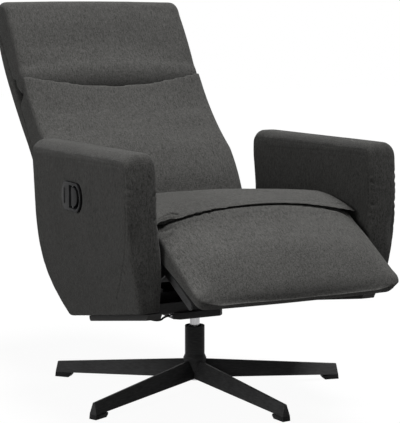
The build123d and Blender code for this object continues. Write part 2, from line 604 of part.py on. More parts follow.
def head_profile(plane, side, cut):
    radius = head_knuckle(side) - 0.7 * cut
    rise = 3.0 + 6.0 * crown(side) - cut
    top = HEAD_PIVOT[1] + HEAD_TOP - 0.8 * cut + 2.0 * crown(side)
    rear = -CUSHION_BACK + 0.3
    return outline(
        plane, about_head(12.0, HEAD_KNUCKLE_END), about_head(radius, HEAD_KNUCKLE_END),
        (about_head(radius, (HEAD_KNUCKLE_END + HEAD_KNUCKLE_TOP) / 2),
         about_head(radius, HEAD_KNUCKLE_TOP)),
        (forward(15.0 + rise, HEAD_PIVOT[1] + 75.0), forward(21.0 + rise, top - 62.0)),
        (forward(16.0 + 0.5 * rise, top - 25.0), forward(-14.0, top - 3.0)),
        (forward(-40.0, top - 5.0), forward(-52.0, top - 24.0)),
        forward(rear, top - 46.0), forward(rear, HEAD_PIVOT[1] + 12.0),
        (forward(HEAD_PIVOT[0] + 10.0, HEAD_PIVOT[1] + 8.0), about_head(12.0, 0.0)))


def headrest_cushion():
    cushion = across(BACK_HALF_WIDTH, 16.0, head_profile)
    board = headrest_board_blank(GAP)
    slots = [loop_space(x) for x in HEAD_LOOP_XS]
    return back_place(cushion - board - slots)


def headrest_board_blank(margin):
    """Board let into the rear of the head cushion, grown by a margin for its pocket."""
    y0 = CUSHION_BACK - 0.3
    z0 = HEAD_PIVOT[1] + 22
    return box(-HEAD_BOARD_HALF_WIDTH - margin, HEAD_BOARD_HALF_WIDTH + margin, y0 - HEAD_BOARD - margin,
               y0 + (20 if margin else 0), z0 - margin, z0 + 160 + margin)


def loop_space(x):
    half = HEAD_LOOP_WIDTH / 2 + 1
    middle = HEAD_PIVOT[1]
    return box(x - half, x + half, -HEAD_PIVOT[0] - 11, CUSHION_BACK + 5, middle - 12, middle + 24)


def headrest_board():
    """Board with the loops that turn on the headrest's hinge rod."""
    board = headrest_board_blank(0.0)
    y, z = -HEAD_PIVOT[0], HEAD_PIVOT[1]
    bore = HEAD_ROD_RADIUS + RUNNING
    for x in HEAD_LOOP_XS:
        x0, x1 = x - HEAD_LOOP_WIDTH / 2, x + HEAD_LOOP_WIDTH / 2
        board += pin((y, z), bore + 2.6, x0, x1) + box(x0, x1, y - 3, y + 3, z + 7, z + 26)
    for x in HEAD_LOOP_XS:
        board -= pin((y, z), bore, x - HEAD_LOOP_WIDTH, x + HEAD_LOOP_WIDTH)
    return back_place(board)


def headrest_rod():
    """Hinge rod with the saddles that hold it on the back frame."""
    y, z = -HEAD_PIVOT[0], HEAD_PIVOT[1]
    piece = pin((y, z), HEAD_ROD_RADIUS, -195, 195)
    for x in (-185.0, 185.0):
        piece += pin((y, z), HEAD_ROD_RADIUS + 0.5, x - 8, x + 8)
        piece += box(x - 8, x + 8, y - 2, CUSHION_BACK + GAP, z - 10, z + 2)
    return back_place(piece)


def back_frame():
    """Plywood frame with three cross rails."""
    half = BACK_FRAME_HALF_WIDTH
    y0, y1 = -BACK_FRAME_FACE, -BACK_FRAME_REAR
    stile = 60.0
    pieces = [box(-half, -half + stile, y0, y1, BACK_FRAME_BOTTOM, BACK_FRAME_TOP),
              box(half - stile, half, y0, y1, BACK_FRAME_BOTTOM, BACK_FRAME_TOP)]
    for z in (BACK_FRAME_BOTTOM + 10, 160.0, HEAD_PIVOT[1] - 90, BACK_FRAME_TOP - 70):
        pieces.append(box(-half + stile, half - stile, y0, y1, z, z + 70))
    for i, x in enumerate((-half, half)):
        for s in BACK_SCREW_HEIGHTS:
            pieces[i] -= pin(forward(BACK_FRAME_FACE - 7, s), SCREW_RADIUS, x - 22, x + 22)
    return [back_place(p) for p in pieces]


def shell_profile(plane, side, cut):
    full = crown(side)

    def rear(t, s):
        return forward(-t - 5.0 * full + cut * (1.0 + 1.1 * min(s, 240.0) / 240.0), s)

    top = BACK_SHELL_TOP - cut
    brow, crest = rear(106.0, top - 36.0), forward(0.8 * cut - 78.0, top + 2.0)
    shoulder = (0.5 * (brow[0] + crest[0]) + 5.0 - 0.2 * cut, 0.5 * (brow[1] + crest[1]) + 3.0)
    return outline(plane, forward(BACK_FRAME_FACE, 2.0), rear(80.0, 4.0), (rear(91.0, 120.0), rear(101.0, 240.0)),
                   (rear(111.0, 345.0), rear(115.0, 445.0)), (rear(113.0, 505.0), brow),
                   (shoulder, crest), forward(BACK_FRAME_FACE, top - 2.0))


def back_shell():
    shell = across(BACK_HALF_WIDTH, 20.0, shell_profile)
    half = BACK_FRAME_HALF_WIDTH + SHEET + 4
    pocket = box(-half, half, 0, -BACK_FRAME_REAR + GAP, -50, BACK_FRAME_TOP + GAP)
    return back_place(shell - pocket)


def back_screws():
    """Screws from the recline brackets into the frame's stiles."""
    x0 = BACK_FRAME_HALF_WIDTH + GAP
    screws = []
    for s in BACK_SCREW_HEIGHTS:
        place = forward(BACK_FRAME_FACE - 7, s)
        shank = pin(place, SCREW_RADIUS - RUNNING, x0 - 20, x0 + SHEET + 1)
        screw = back_place(shank + pin(place, 4.4, x0 + SHEET, x0 + SHEET + 2))
        screws += [screw, mirrored(screw)]
    return screws


def back_bracket():
    """Recline bracket: boss and pin at the pivot, and an upright beside the frame's stile."""
    x0 = BACK_FRAME_HALF_WIDTH + GAP
    corner, top = forward(BACK_FRAME_FACE - 7, 55.0), forward(BACK_FRAME_FACE - 7, 205.0)
    shape = bar((0, 0), corner, 15) + bar(corner, top, 6.8)
    keep = Pos(*forward(BACK_FRAME_FACE - 7, 100.0)) * Rectangle(2 * 6.8, 300)
    upper = Pos(*forward(BACK_FRAME_FACE - 7, 200.0)) * Rectangle(200, 220)
    shape = (shape - upper) + (shape & keep & upper)
    shape -= Pos(-BACK_FRAME_REAR + 50, 100) * Rectangle(100, 400)
    for s in BACK_SCREW_HEIGHTS:
        shape -= Pos(*forward(BACK_FRAME_FACE - 7, s)) * Circle(SCREW_RADIUS + GAP)
    recline_pin = pin((0, 0), RECLINE_PIN_RADIUS, x0 + 1, SIDE_PLATE_X + SHEET)
    return back_place(plate(shape, x0) + recline_pin)


# ---------------------------------------------------------------- arms
def arm_section(rear, front, x_in, x_out, corner=14.0):
    """Rounded section of an arm between a rear and a front point (y, z) of the side view."""
    run, rise = rear[0] - front[0], front[1] - rear[1]
    span = hypot(run, rise)
    plane = Plane(origin=(0, *rear), x_dir=(1, 0, 0), z_dir=(0, rise, run))
    k = 0.29 * corner
    near, far = -corner, corner - span
    return outline(
        plane, (x_in, near), ((x_in + k, -k), (x_in + corner, 0.0)), (x_out - corner, 0.0),
        ((x_out - k, -k), (x_out, near)), ((x_out + ARM_BULGE, -span / 2), (x_out, far)),
        ((x_out - k, k - span), (x_out - corner, -span)),
        (((x_in + x_out) / 2, -span - ARM_BULGE), (x_in + corner, -span)),
        ((x_in + k, k - span), (x_in, far)))


def arm():
    """Upholstered arm of the sitter's left side: a tall body and its rounded top."""
    low = ARM_INNER_LOW
    body = [
        arm_section(ARM_BOTTOM_REAR, ARM_BOTTOM_FRONT, low, ARM_OUTER - 29, 9.0),
        arm_section((124.0, 256.0), (-359.0, 322.0), low, ARM_OUTER - 22),
        arm_section((168.0, 324.0), (-361.0, 382.0), low + 0.5, ARM_OUTER - 11),
        arm_section((184.0, 404.0), (-360.0, 447.0), ARM_INNER - 2.0, ARM_OUTER - 3),
        arm_section((191.0, 490.0), (-357.0, 516.0), ARM_INNER, ARM_OUTER - 0.5),
        arm_section((200.0, 572.0), (-351.0, 582.0), ARM_INNER, ARM_OUTER),
    ]
    top = [
        body[-1],
        arm_section((197.0, 594.0), (-347.0, 603.0), ARM_INNER + 4.0, ARM_OUTER - 5.0, 13.0),
        arm_section((188.0, 606.0), (-341.0, 613.0), ARM_INNER + 11.0, ARM_OUTER - 14.0, 11.0),
        arm_section((172.0, 611.0), (-330.0, 617.0), ARM_INNER + 22.0, ARM_OUTER - 27.0, 8.0),
    ]
    shape = loft(body) + loft(top) - box(low - 20, low, -400, 300, 150, 450)
    for y in ARM_BOLT_YS:
        shape -= pin((y, ARM_BOLT_Z), BOLT_RADIUS + GAP, low - 10, low + ARM_BOLT_REACH)
    return shape


def arm_rail():
    """Board under an arm, parallel to the arm's rising lower edge."""
    (yr, zr), (yf, zf) = ARM_BOTTOM_REAR, ARM_BOTTOM_FRONT
    slope = (zf - zr) / (yf - yr)

    def top(y):
        return (y, zr + slope * (y - yr) - GAP)

    def low(y):
        return (y, zr + slope * (y - yr) - GAP - RAIL_THICKNESS)

    mid = (RAIL_REAR - 0.29 * RAIL_REAR_RADIUS, low(RAIL_REAR)[1] + 0.29 * RAIL_REAR_RADIUS)
    return extrude(outline(
        side_plane(ARM_INNER_LOW), top(RAIL_REAR), top(yf), low(yf + 10), low(RAIL_REAR - RAIL_REAR_RADIUS),
        (mid, top(RAIL_REAR))), RAIL_OUTER - ARM_INNER_LOW)


# ---------------------------------------------------------------- release latch
def oval(length, height, nose):
    """Latch outline in the arm's side view: round front, flatter round rear."""
    half_l, half_h = length / 2, height / 2
    return make_face([
        Line((half_l - 16, half_h), (-half_l + nose, half_h)),
        ThreePointArc((-half_l + nose, half_h), (-half_l, 0), (-half_l + nose, -half_h)),
        Line((-half_l + nose, -half_h), (half_l - 16, -half_h)),
        ThreePointArc((half_l - 16, -half_h), (half_l, 0), (half_l - 16, half_h))])


def latch_pocket_face(margin=0.0):
    """D-shaped finger pocket in front of the hinge line."""
    front = LATCH_Y - LATCH_LENGTH / 2 + LATCH_WALL + 2 - margin
    back = LATCH_HINGE_Y + 8 + margin
    half = LEVER_HALF_HEIGHT + 5 + margin
    return outline(side_plane(0), (back, LATCH_Z - half), (back, LATCH_Z + half),
                   (LATCH_HINGE_Y - 18, LATCH_Z + half),
                   ((front, LATCH_Z), (LATCH_HINGE_Y - 18, LATCH_Z - half)))


def latch_bezel():
    """Moulded cup of the release latch, on the outer face of the sitter's right arm."""
    rim = extrude(side_plane(-ARM_OUTER - LATCH_RIM) * Pos(LATCH_Y, LATCH_Z)
                  * oval(LATCH_LENGTH, LATCH_HEIGHT, 22), LATCH_RIM + 1.0)
    cup = extrude(side_plane(-ARM_OUTER) * Pos(LATCH_Y, LATCH_Z)
                  * oval(LATCH_LENGTH - 6, LATCH_HEIGHT - 6, 20), LATCH_DEPTH)
    pocket = extrude(Pos(-ARM_OUTER - LATCH_RIM - 1, 0, 0) * latch_pocket_face(),
                     LATCH_DEPTH + LATCH_RIM - LATCH_WALL)
    rib = box(-ARM_OUTER - LATCH_RIM - 1.6, -ARM_OUTER - LATCH_RIM, -26, -23, LATCH_Z - 18, LATCH_Z + 18)
    pin_hole = Pos(-ARM_OUTER + 4, LATCH_HINGE_Y, LATCH_Z) * Cylinder(2.0, 2 * LEVER_HALF_HEIGHT + 12)
    entry = Pos(-ARM_OUTER + LATCH_DEPTH, CABLE_ROUTE[0][1], CABLE_ROUTE[0][2])
    socket = entry * Rot(0, 90, 0) * Cylinder(CABLE_RADIUS, 16)
    return rim + cup + rib - pocket - pin_hole - socket


def latch_well():
    """Room for the bezel in the right arm: a deep well, and a shallow seat for its rim."""
    place = side_plane(-ARM_OUTER - 10) * Pos(LATCH_Y, LATCH_Z)
    cup = oval(LATCH_LENGTH - 6 + 2 * GAP, LATCH_HEIGHT - 6 + 2 * GAP, 20)
    rim = oval(LATCH_LENGTH + 2 * GAP, LATCH_HEIGHT + 2 * GAP, 22)
    return extrude(place * cup, LATCH_DEPTH + 10 + GAP) + extrude(place * rim, 11 + GAP)


def latch_pin():
    return Pos(-ARM_OUTER + 4, LATCH_HINGE_Y, LATCH_Z) * Cylinder(2.0, 2 * LEVER_HALF_HEIGHT + 12)


def latch_lever():
    """D-shaped flap hinged at its rear edge, pulled outwards by its front edge."""
    x0 = -ARM_OUTER - 1
    half = LEVER_HALF_HEIGHT
    front = LATCH_HINGE_Y - LEVER_LENGTH
    flap = extrude(outline(side_plane(x0), (LATCH_HINGE_Y, LATCH_Z - half), (LATCH_HINGE_Y, LATCH_Z + half),
                           (LATCH_HINGE_Y - 14, LATCH_Z + half),
                           ((front, LATCH_Z), (LATCH_HINGE_Y - 14, LATCH_Z - half))), LEVER_THICKNESS)
    eye = Pos(-ARM_OUTER + 4, LATCH_HINGE_Y, LATCH_Z) * Cylinder(4.6, 2 * half)
    bore = Pos(-ARM_OUTER + 4, LATCH_HINGE_Y, LATCH_Z) * Cylinder(2.0 + RUNNING, 2 * half + 2)
    return flap + eye - bore


def cable_path():
    """Route of the release cable with an arc at each corner."""
    points = [Vector(*p) for p in CABLE_ROUTE]
    radii = []
    for before, here, after in zip(points, points[1:], points[2:]):
        turn = radians((here - before).get_angle(after - here))
        radii.append(0.45 * min((here - before).length, (after - here).length) / tan(turn / 2))
    return FilletPolyline(*CABLE_ROUTE, radius=radii)


def cable_tube(radius):
    path = cable_path()
    return sweep(Plane(origin=path @ 0, z_dir=path % 0) * Circle(radius), path=path)


def cable_ferrules():
    """Crimped sleeve where the cable enters the swivel plate's flange."""
    y, z = CABLE_ROUTE[-1][1:]
    x1 = -PLATE_HALF_WIDTH - GAP
    return pin((y, z), CABLE_RADIUS + 1.6, x1 - 6, x1) - pin((y, z), CABLE_RADIUS + 0.1, x1 - 7, x1 + 1)


def catch_housing():
    """Housing of the release catch under the swivel plate's sheet, where the cable ends."""
    x0 = CABLE_ROUTE[-1][0]
    y = CABLE_ROUTE[-1][1]
    return box(x0, x0 + 16, y - 6, y + 14, PLATE_BOTTOM + 2, PLATE_TOP - PLATE_SHEET)


# ---------------------------------------------------------------- writing
def save(name, shape):
    """Write one node as STEP, moved from the swivel axis to the part's origin."""
    pieces = shape if isinstance(shape, list) else [shape]
    solids = [Pos(SWIVEL_X, SWIVEL_Y, 0) * solid for piece in pieces for solid in piece.solids()]
    export_step(Compound(children=solids) if len(solids) > 1 else solids[0], f"parts/{name}.step")


def main():
    os.makedirs("parts", exist_ok=True)
    save("base_hub", base_hub())
    for i in range(BASE_ARMS):
        save(f"star_arm_{i + 1}", star_arm(i))
        save(f"foot_glide_{i + 1}", foot_glide(i))
    save("column_tube", column_tube())
    save("upper_bush", upper_bush())
    save("lower_bush", lower_bush())
    save("thrust_bearing", thrust_bearing())

    save("column_spindle", column_spindle())
    save("spindle_clip", spindle_clip())
    save("swivel_plate", swivel_plate())
    save("plate_bolts", plate_bolts())
    save("cross_tube_front", cross_tube(CROSS_TUBE_YS[0]))
    save("cross_tube_rear", cross_tube(CROSS_TUBE_YS[1]))
    save("side_plate_left", side_plate())
    save("side_plate_right", mirrored(side_plate()))
    save("seat_frame", seat_frame())
    save("seat_webbing", seat_webbing())
    save("seat_cushion", seat_cushion())

    channel = cable_tube(CABLE_RADIUS + CABLE_CLEARANCE)
    left_arm = arm()
    save("arm_left", left_arm)
    save("arm_right", mirrored(left_arm) - latch_well() - channel)
    save("arm_board_left", arm_board())
    save("arm_board_right", mirrored(arm_board()) - channel)
    save("arm_rail_left", arm_rail())
    save("arm_rail_right", mirrored(arm_rail()) - channel)
    save("arm_bolts", arm_bolts())
    save("latch_bezel", latch_bezel())
    save("latch_pin", latch_pin())
    save("latch_lever", latch_lever())
    cable = cable_tube(CABLE_RADIUS)
    section = 3.14159265 * CABLE_RADIUS ** 2 * cable_path().length
    print(f"release cable: length {cable_path().length:.0f}, volume {cable.volume:.0f} of {section:.0f}")
    save("release_cable", cable)
    save("cable_ferrules", cable_ferrules())
    save("catch_housing", catch_housing())

    save("legrest_cushion", legrest_cushion())
    save("legrest_board", legrest_board())
    save("legrest_bracket_left", legrest_bracket())
    save("legrest_bracket_right", mirrored(legrest_bracket()))
    save("legrest_screws", legrest_screws())
    save("torque_tube", torque_tube())
    save("crank_left", crank())
    save("crank_right", mirrored(crank()))
    save("opening_spring", opening_spring())
    save("rod_left", rod())
    save("rod_right", mirrored(rod()))

    save("back_frame", back_frame())
    save("back_shell", back_shell())
    save("lumbar_cushion", lumbar_cushion())
    save("back_bracket_left", back_bracket())
    save("back_bracket_right", mirrored(back_bracket()))
    save("back_screws", back_screws())
    save("headrest_rod", headrest_rod())
    save("headrest_cushion", headrest_cushion())
    save("headrest_board", headrest_board())


main()
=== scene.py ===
import json
import logging
import math
from dataclasses import dataclass
from enum import Enum
from typing import Callable, Sequence

import bmesh
import bpy
import numpy as np
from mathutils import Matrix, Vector, noise
from mathutils.bvhtree import BVHTree
from mathutils.kdtree import KDTree

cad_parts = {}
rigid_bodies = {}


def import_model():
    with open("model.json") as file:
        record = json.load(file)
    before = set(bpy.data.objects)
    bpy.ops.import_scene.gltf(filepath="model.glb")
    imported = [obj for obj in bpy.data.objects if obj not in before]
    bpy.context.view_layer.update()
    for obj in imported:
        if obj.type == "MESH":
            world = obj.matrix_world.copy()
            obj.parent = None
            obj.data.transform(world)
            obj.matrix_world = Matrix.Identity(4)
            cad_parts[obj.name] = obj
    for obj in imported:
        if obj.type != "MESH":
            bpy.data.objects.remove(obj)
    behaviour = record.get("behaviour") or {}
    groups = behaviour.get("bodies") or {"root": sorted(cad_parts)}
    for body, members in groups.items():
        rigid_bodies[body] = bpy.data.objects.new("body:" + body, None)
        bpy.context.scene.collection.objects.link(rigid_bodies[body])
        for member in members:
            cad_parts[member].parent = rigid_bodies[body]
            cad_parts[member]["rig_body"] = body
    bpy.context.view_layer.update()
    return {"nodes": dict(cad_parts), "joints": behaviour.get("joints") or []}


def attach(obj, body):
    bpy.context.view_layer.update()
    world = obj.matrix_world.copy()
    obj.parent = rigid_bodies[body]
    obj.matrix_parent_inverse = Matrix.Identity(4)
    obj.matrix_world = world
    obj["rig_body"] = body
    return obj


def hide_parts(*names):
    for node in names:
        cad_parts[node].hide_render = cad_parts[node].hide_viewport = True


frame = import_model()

LOG = logging.getLogger("recliner")
JOINTS = {joint["name"]: joint for joint in frame["joints"]}
SWIVEL_X, SWIVEL_Y = JOINTS["swivel"]["pos_m"][:2]
LEGREST_SLOPE, RECLINE = 26.0, 38.7  # degrees, as in the photograph
Array = np.ndarray
Point = tuple[float, float, float]
Colour = tuple[float, float, float]
Span = tuple[float, float]


class Slot(Enum):
    """Material slots of the record."""

    UPHOLSTERY = "upholstery"
    FRAME = "black_frame"
    STEEL = "bright_steel"
    FIXINGS = "fixings"
    BOARD = "board"
    PLASTIC = "black_plastic"
    SLEEVE = "cable_sleeve"
    WEBBING = "webbing"


class Axis(Enum):
    """Direction in which a woven or drawn surface runs, in its own frame."""

    X = 0
    Y = 1
    Z = 2


# ------------------------------------------------------------------ places
@dataclass(frozen=True)
class SideFrame:
    """Frame of a piece in the side view, turned about a joint of the chair.

    x is measured from the swivel axis, y and z from the joint, before the piece was tilted.
    """

    joint: str
    tilt: float

    def _turn(self) -> tuple[float, float]:
        """Cosine and sine of the tilt."""
        return math.cos(math.radians(self.tilt)), math.sin(math.radians(self.tilt))

    def local(self, points: Array) -> Array:
        """Points of the part's frame in this frame.

        Args:
            points: N by 3 points in metres.

        Returns:
            The same points in this frame.
        """
        cos, sin = self._turn()
        pos = JOINTS[self.joint]["pos_m"]
        y, z = points[:, 1] - pos[1], points[:, 2] - pos[2]
        return np.column_stack([points[:, 0] - SWIVEL_X, y * cos + z * sin, z * cos - y * sin])

    def world(self, points: Sequence[Point]) -> Array:
        """Points of this frame in the part's frame.

        Args:
            points: Points in metres.

        Returns:
            N by 3 points in the part's frame.
        """
        cos, sin = self._turn()
        p = np.asarray(points, float)
        pos = JOINTS[self.joint]["pos_m"]
        return np.column_stack([p[:, 0] + SWIVEL_X, p[:, 1] * cos - p[:, 2] * sin + pos[1],
                                p[:, 1] * sin + p[:, 2] * cos + pos[2]])


SEAT = SideFrame("swivel", 0.0)
LEGREST = SideFrame("legrest_lift", LEGREST_SLOPE)
BACK = SideFrame("back_recline", -RECLINE)
HEAD = SideFrame("headrest_tilt", -RECLINE)


# ------------------------------------------------------------------ finishes
class Nodes:
    """Small helper that lays out the nodes of one material."""

    def __init__(self, name: str) -> None:
        """Start a material with a principled shader.

        Args:
            name: Name of the material.
        """
        self.material = bpy.data.materials.new(name)
        self.material.use_nodes = True
        self.tree = self.material.node_tree
        self.shader = self.tree.nodes["Principled BSDF"]

    def add(self, kind: str, settings: dict | None = None, **inputs: object) -> bpy.types.Node:
        """Add a node, set its properties and fill or link its inputs.

        Args:
            kind: Blender's node type.
            settings: Properties of the node.
            inputs: Input names, with spaces as underscores, and a value or a socket each.

        Returns:
            The new node.
        """
        node = self.tree.nodes.new(kind)
        for key, value in (settings or {}).items():
            setattr(node, key, value)
        for key, value in inputs.items():
            self.feed(node.inputs[int(key[1:]) if key[0] == "_" else key.replace("_", " ")], value)
        return node

    def feed(self, socket: bpy.types.NodeSocket, value: object) -> None:
        """Link a socket to another, or set its value.

        Args:
            socket: The input.
            value: An output socket, or a plain value.
        """
        if isinstance(value, bpy.types.NodeSocket):
            self.tree.links.new(value, socket)
        else:
            socket.default_value = value

    def space(self, tilt: float = 0.0, scale: Point = (1.0, 1.0, 1.0)) -> bpy.types.NodeSocket:
        """Object coordinates, tilted in the side view and scaled.

        Args:
            tilt: Degrees about X.
            scale: Scale along each axis.

        Returns:
            The vector output.
        """
        where = self.add("ShaderNodeTexCoord").outputs["Object"]
        turned = self.add("ShaderNodeMapping", {"vector_type": "POINT"}, Vector=where,
                          Rotation=(math.radians(-tilt), 0.0, 0.0))
        return self.add("ShaderNodeMapping", {"vector_type": "POINT"}, Vector=turned.outputs[0],
                        Scale=scale).outputs[0]

    def noise(self, vector: bpy.types.NodeSocket, scale: float, detail: float = 3.0,
              rough: float = 0.55) -> bpy.types.NodeSocket:
        """Noise between 0 and 1.

        Args:
            vector: Coordinates.
            scale: Features per metre, roughly.
            detail: Octaves.
            rough: Weight of the finer octaves.

        Returns:
            The factor output.
        """
        return self.add("ShaderNodeTexNoise", Vector=vector, Scale=scale, Detail=detail,
                        Roughness=rough).outputs[0]

    def bands(self, vector: bpy.types.NodeSocket, axis: Axis, pitch: float,
              distortion: float = 0.6) -> bpy.types.NodeSocket:
        """Even bands across an axis.

        Args:
            vector: Coordinates.
            axis: Axis that the bands cross.
            pitch: Distance between bands in metres.
            distortion: How much they wander.

        Returns:
            The factor output.
        """
        return self.add("ShaderNodeTexWave", {"wave_type": "BANDS", "bands_direction": axis.name},
                        Vector=vector, Scale=2 * math.pi / (20 * pitch), Distortion=distortion,
                        Detail=2.0, Detail_Scale=1.5).outputs["Fac"]

    def math(self, operation: str, a: object, b: object = 0.0, clamp: bool = False) -> bpy.types.NodeSocket:
        """One arithmetic step on two numbers.

        Args:
            operation: Blender's name of it.
            a: First number or socket.
            b: Second number or socket.
            clamp: Whether the result stays between 0 and 1.

        Returns:
            The value output.
        """
        return self.add("ShaderNodeMath", {"operation": operation, "use_clamp": clamp}, _0=a, _1=b).outputs[0]

    def weighed(self, *parts: tuple[bpy.types.NodeSocket, float]) -> bpy.types.NodeSocket:
        """Sum of values by their weights.

        Args:
            parts: Value outputs, each with its weight.

        Returns:
            The value output.
        """
        total = None
        for socket, weight in parts:
            term = self.math("MULTIPLY", socket, weight)
            total = term if total is None else self.math("ADD", total, term)
        return total

    def spread(self, value: bpy.types.NodeSocket, low: float, high: float) -> bpy.types.NodeSocket:
        """A value between 0 and 1, taken to a range from low to high."""
        return self.add("ShaderNodeMapRange", Value=value, To_Min=low, To_Max=high).outputs[0]

    def ramp(self, factor: bpy.types.NodeSocket,
             stops: Sequence[tuple[float, Colour]]) -> bpy.types.NodeSocket:
        """Colours along a factor.

        Args:
            factor: The number that picks the colour.
            stops: Positions with their colours.

        Returns:
            The colour output.
        """
        node = self.add("ShaderNodeValToRGB", Fac=factor)
        elements = node.color_ramp.elements
        while len(elements) < len(stops):
            elements.new(0.5)
        for element, (position, colour) in zip(elements, stops):
            element.position = position
            element.color = (*colour, 1.0)
        return node.outputs[0]

    def mix(self, factor: object, a: object, b: object, blend: str = "MIX") -> bpy.types.NodeSocket:
        """Mix two colours.

        Args:
            factor: Share of the second one.
            a: First colour.
            b: Second colour.
            blend: Blender's blend type.

        Returns:
            The colour output.
        """
        node = self.add("ShaderNodeMix", {"data_type": "RGBA", "blend_type": blend}, _0=factor)
        self.feed(node.inputs[6], a if isinstance(a, bpy.types.NodeSocket) else (*a, 1.0))
        self.feed(node.inputs[7], b if isinstance(b, bpy.types.NodeSocket) else (*b, 1.0))
        return node.outputs[2]

    def edge(self, low: float, high: float) -> bpy.types.NodeSocket:
        """Mask of convex edges.

        Args:
            low: Pointiness where the edge starts.
            high: Pointiness where it is full.

        Returns:
            The value output.
        """
        point = self.add("ShaderNodeNewGeometry").outputs["Pointiness"]
        return self.add("ShaderNodeMapRange", Value=point, From_Min=low, From_Max=high).outputs[0]

    def finish(self, colour: object, roughness: object, height: object = None, depth: float = 0.0,
               **fixed: object) -> bpy.types.Material:
        """Fill the shader and return the material.

        Args:
            colour: Base colour or its socket.
            roughness: Roughness or its socket.
            height: Height socket for the bump.
            depth: Height of the bump in metres.
            fixed: Other values of the shader, set on its sockets.

        Returns:
            The material.
        """
        self.feed(self.shader.inputs["Base Color"],
                  colour if isinstance(colour, bpy.types.NodeSocket) else (*colour, 1.0))
        self.feed(self.shader.inputs["Roughness"], roughness)
        for key, value in fixed.items():
            self.shader.inputs[key.replace("_", " ")].default_value = value
        if height is not None:
            bump = self.add("ShaderNodeBump", Height=height, Distance=depth, Strength=1.0)
            self.tree.links.new(bump.outputs[0], self.shader.inputs["Normal"])
        return self.material


@dataclass(frozen=True)
class WovenCloth:
    """Charcoal melange upholstery cloth with slub yarns along one direction."""

    name: str
    slub: Axis = Axis.Z
    tilt: float = 0.0
    dark: Colour = (0.034, 0.0335, 0.0318)
    light: Colour = (0.130, 0.1285, 0.1230)
    pitch: float = 0.0014
    slub_stretch: float = 0.28
    yarn_scale: float = 760.0
    weft_scale: float = 640.0
    slub_scale: float = 300.0
    relief: float = 0.0005

    def material(self) -> bpy.types.Material:
        """The cloth's material: yarns, slubs, soft cloudiness, rubbed edges and woven relief.

        Returns:
            The material.
        """
        m = Nodes(self.name)
        stretch = [1.0, 1.0, 1.0]
        stretch[self.slub.value] = self.slub_stretch
        along = m.space(self.tilt, tuple(stretch))
        cross = m.space(self.tilt, tuple(0.4 if s == 1.0 else 1.6 for s in stretch))
        plain = m.space(self.tilt)
        yarn = m.noise(along, self.yarn_scale, 2.0, 0.5)
        weft = m.noise(cross, self.weft_scale, 2.0, 0.5)
        slub = m.noise(along, self.slub_scale, 2.0, 0.6)
        fleck = m.weighed((yarn, 0.45), (weft, 0.25), (slub, 0.30))
        middle = tuple((a + b) / 2 for a, b in zip(self.dark, self.light))
        colour = m.ramp(fleck, ((0.36, self.dark), (0.50, middle), (0.66, self.light)))
        cloud = m.ramp(m.noise(plain, 9.0, 3.0), ((0.3, (0.90, 0.90, 0.90)), (0.7, (1.0, 1.0, 1.0))))
        colour = m.mix(1.0, colour, cloud, "MULTIPLY")
        rubbed = m.math("MULTIPLY", m.edge(0.505, 0.53), m.noise(plain, 60.0, 3.0))
        colour = m.mix(m.math("MULTIPLY", rubbed, 0.35, True), colour, self.light)
        threads = [m.bands(plain, axis, self.pitch) for axis in Axis]
        lattice = m.math("ADD", m.math("ADD", threads[0], threads[1]), threads[2])
        height = m.weighed((lattice, 0.30), (fleck, 0.9))
        rough = m.spread(fleck, 0.98, 0.84)
        return m.finish(colour, rough, height, self.relief, Sheen_Weight=0.10, Sheen_Roughness=0.45,
                        Specular_IOR_Level=0.03)


@dataclass(frozen=True)
class PowderCoat:
    """Satin black powder coat with a fine peel, faint draw marks and rubbed edges."""

    name: str
    tint: Colour = (0.0440, 0.0440, 0.0445)
    roughness: float = 0.50

    def material(self) -> bpy.types.Material:
        """The coat's material.

        Returns:
            The material.
        """
        m = Nodes(self.name)
        plain = m.space()
        drawn = m.space(0.0, (0.25, 0.25, 1.6))
        peel = m.noise(plain, 1500.0, 2.0)
        marks = m.noise(drawn, 260.0, 3.0)
        dust = m.noise(plain, 22.0, 4.0)
        shade = m.weighed((marks, 0.6), (dust, 0.4))
        lighter = tuple(1.9 * c for c in self.tint)
        colour = m.ramp(shade, ((0.35, self.tint), (0.68, lighter)))
        worn = m.math("MULTIPLY", m.edge(0.54, 0.62), m.noise(plain, 180.0, 4.0))
        colour = m.mix(m.math("MULTIPLY", worn, 0.5, True), colour, (0.10, 0.10, 0.10))
        rough = m.spread(shade, self.roughness - 0.07, self.roughness + 0.12)
        height = m.weighed((peel, 0.5), (marks, 0.3))
        return m.finish(colour, rough, height, 0.00008, Specular_IOR_Level=0.08)


@dataclass(frozen=True)
class TurnedSteel:
    """Bright or blackened steel with turning marks."""

    name: str
    tint: Colour = (0.45, 0.45, 0.46)
    roughness: float = 0.24

    def material(self) -> bpy.types.Material:
        """The steel's material.

        Returns:
            The material.
        """
        m = Nodes(self.name)
        fine = m.space(0.0, (0.15, 0.15, 1.0))
        marks = m.noise(fine, 1400.0, 2.0)
        stain = m.noise(m.space(0.0, (1.0, 1.0, 0.3)), 90.0, 4.0)
        darker = tuple(0.72 * c for c in self.tint)
        colour = m.ramp(stain, ((0.35, darker), (0.65, self.tint)))
        rough = m.spread(marks, self.roughness - 0.08, self.roughness + 0.10)
        return m.finish(colour, rough, marks, 0.00003, Metallic=1.0)


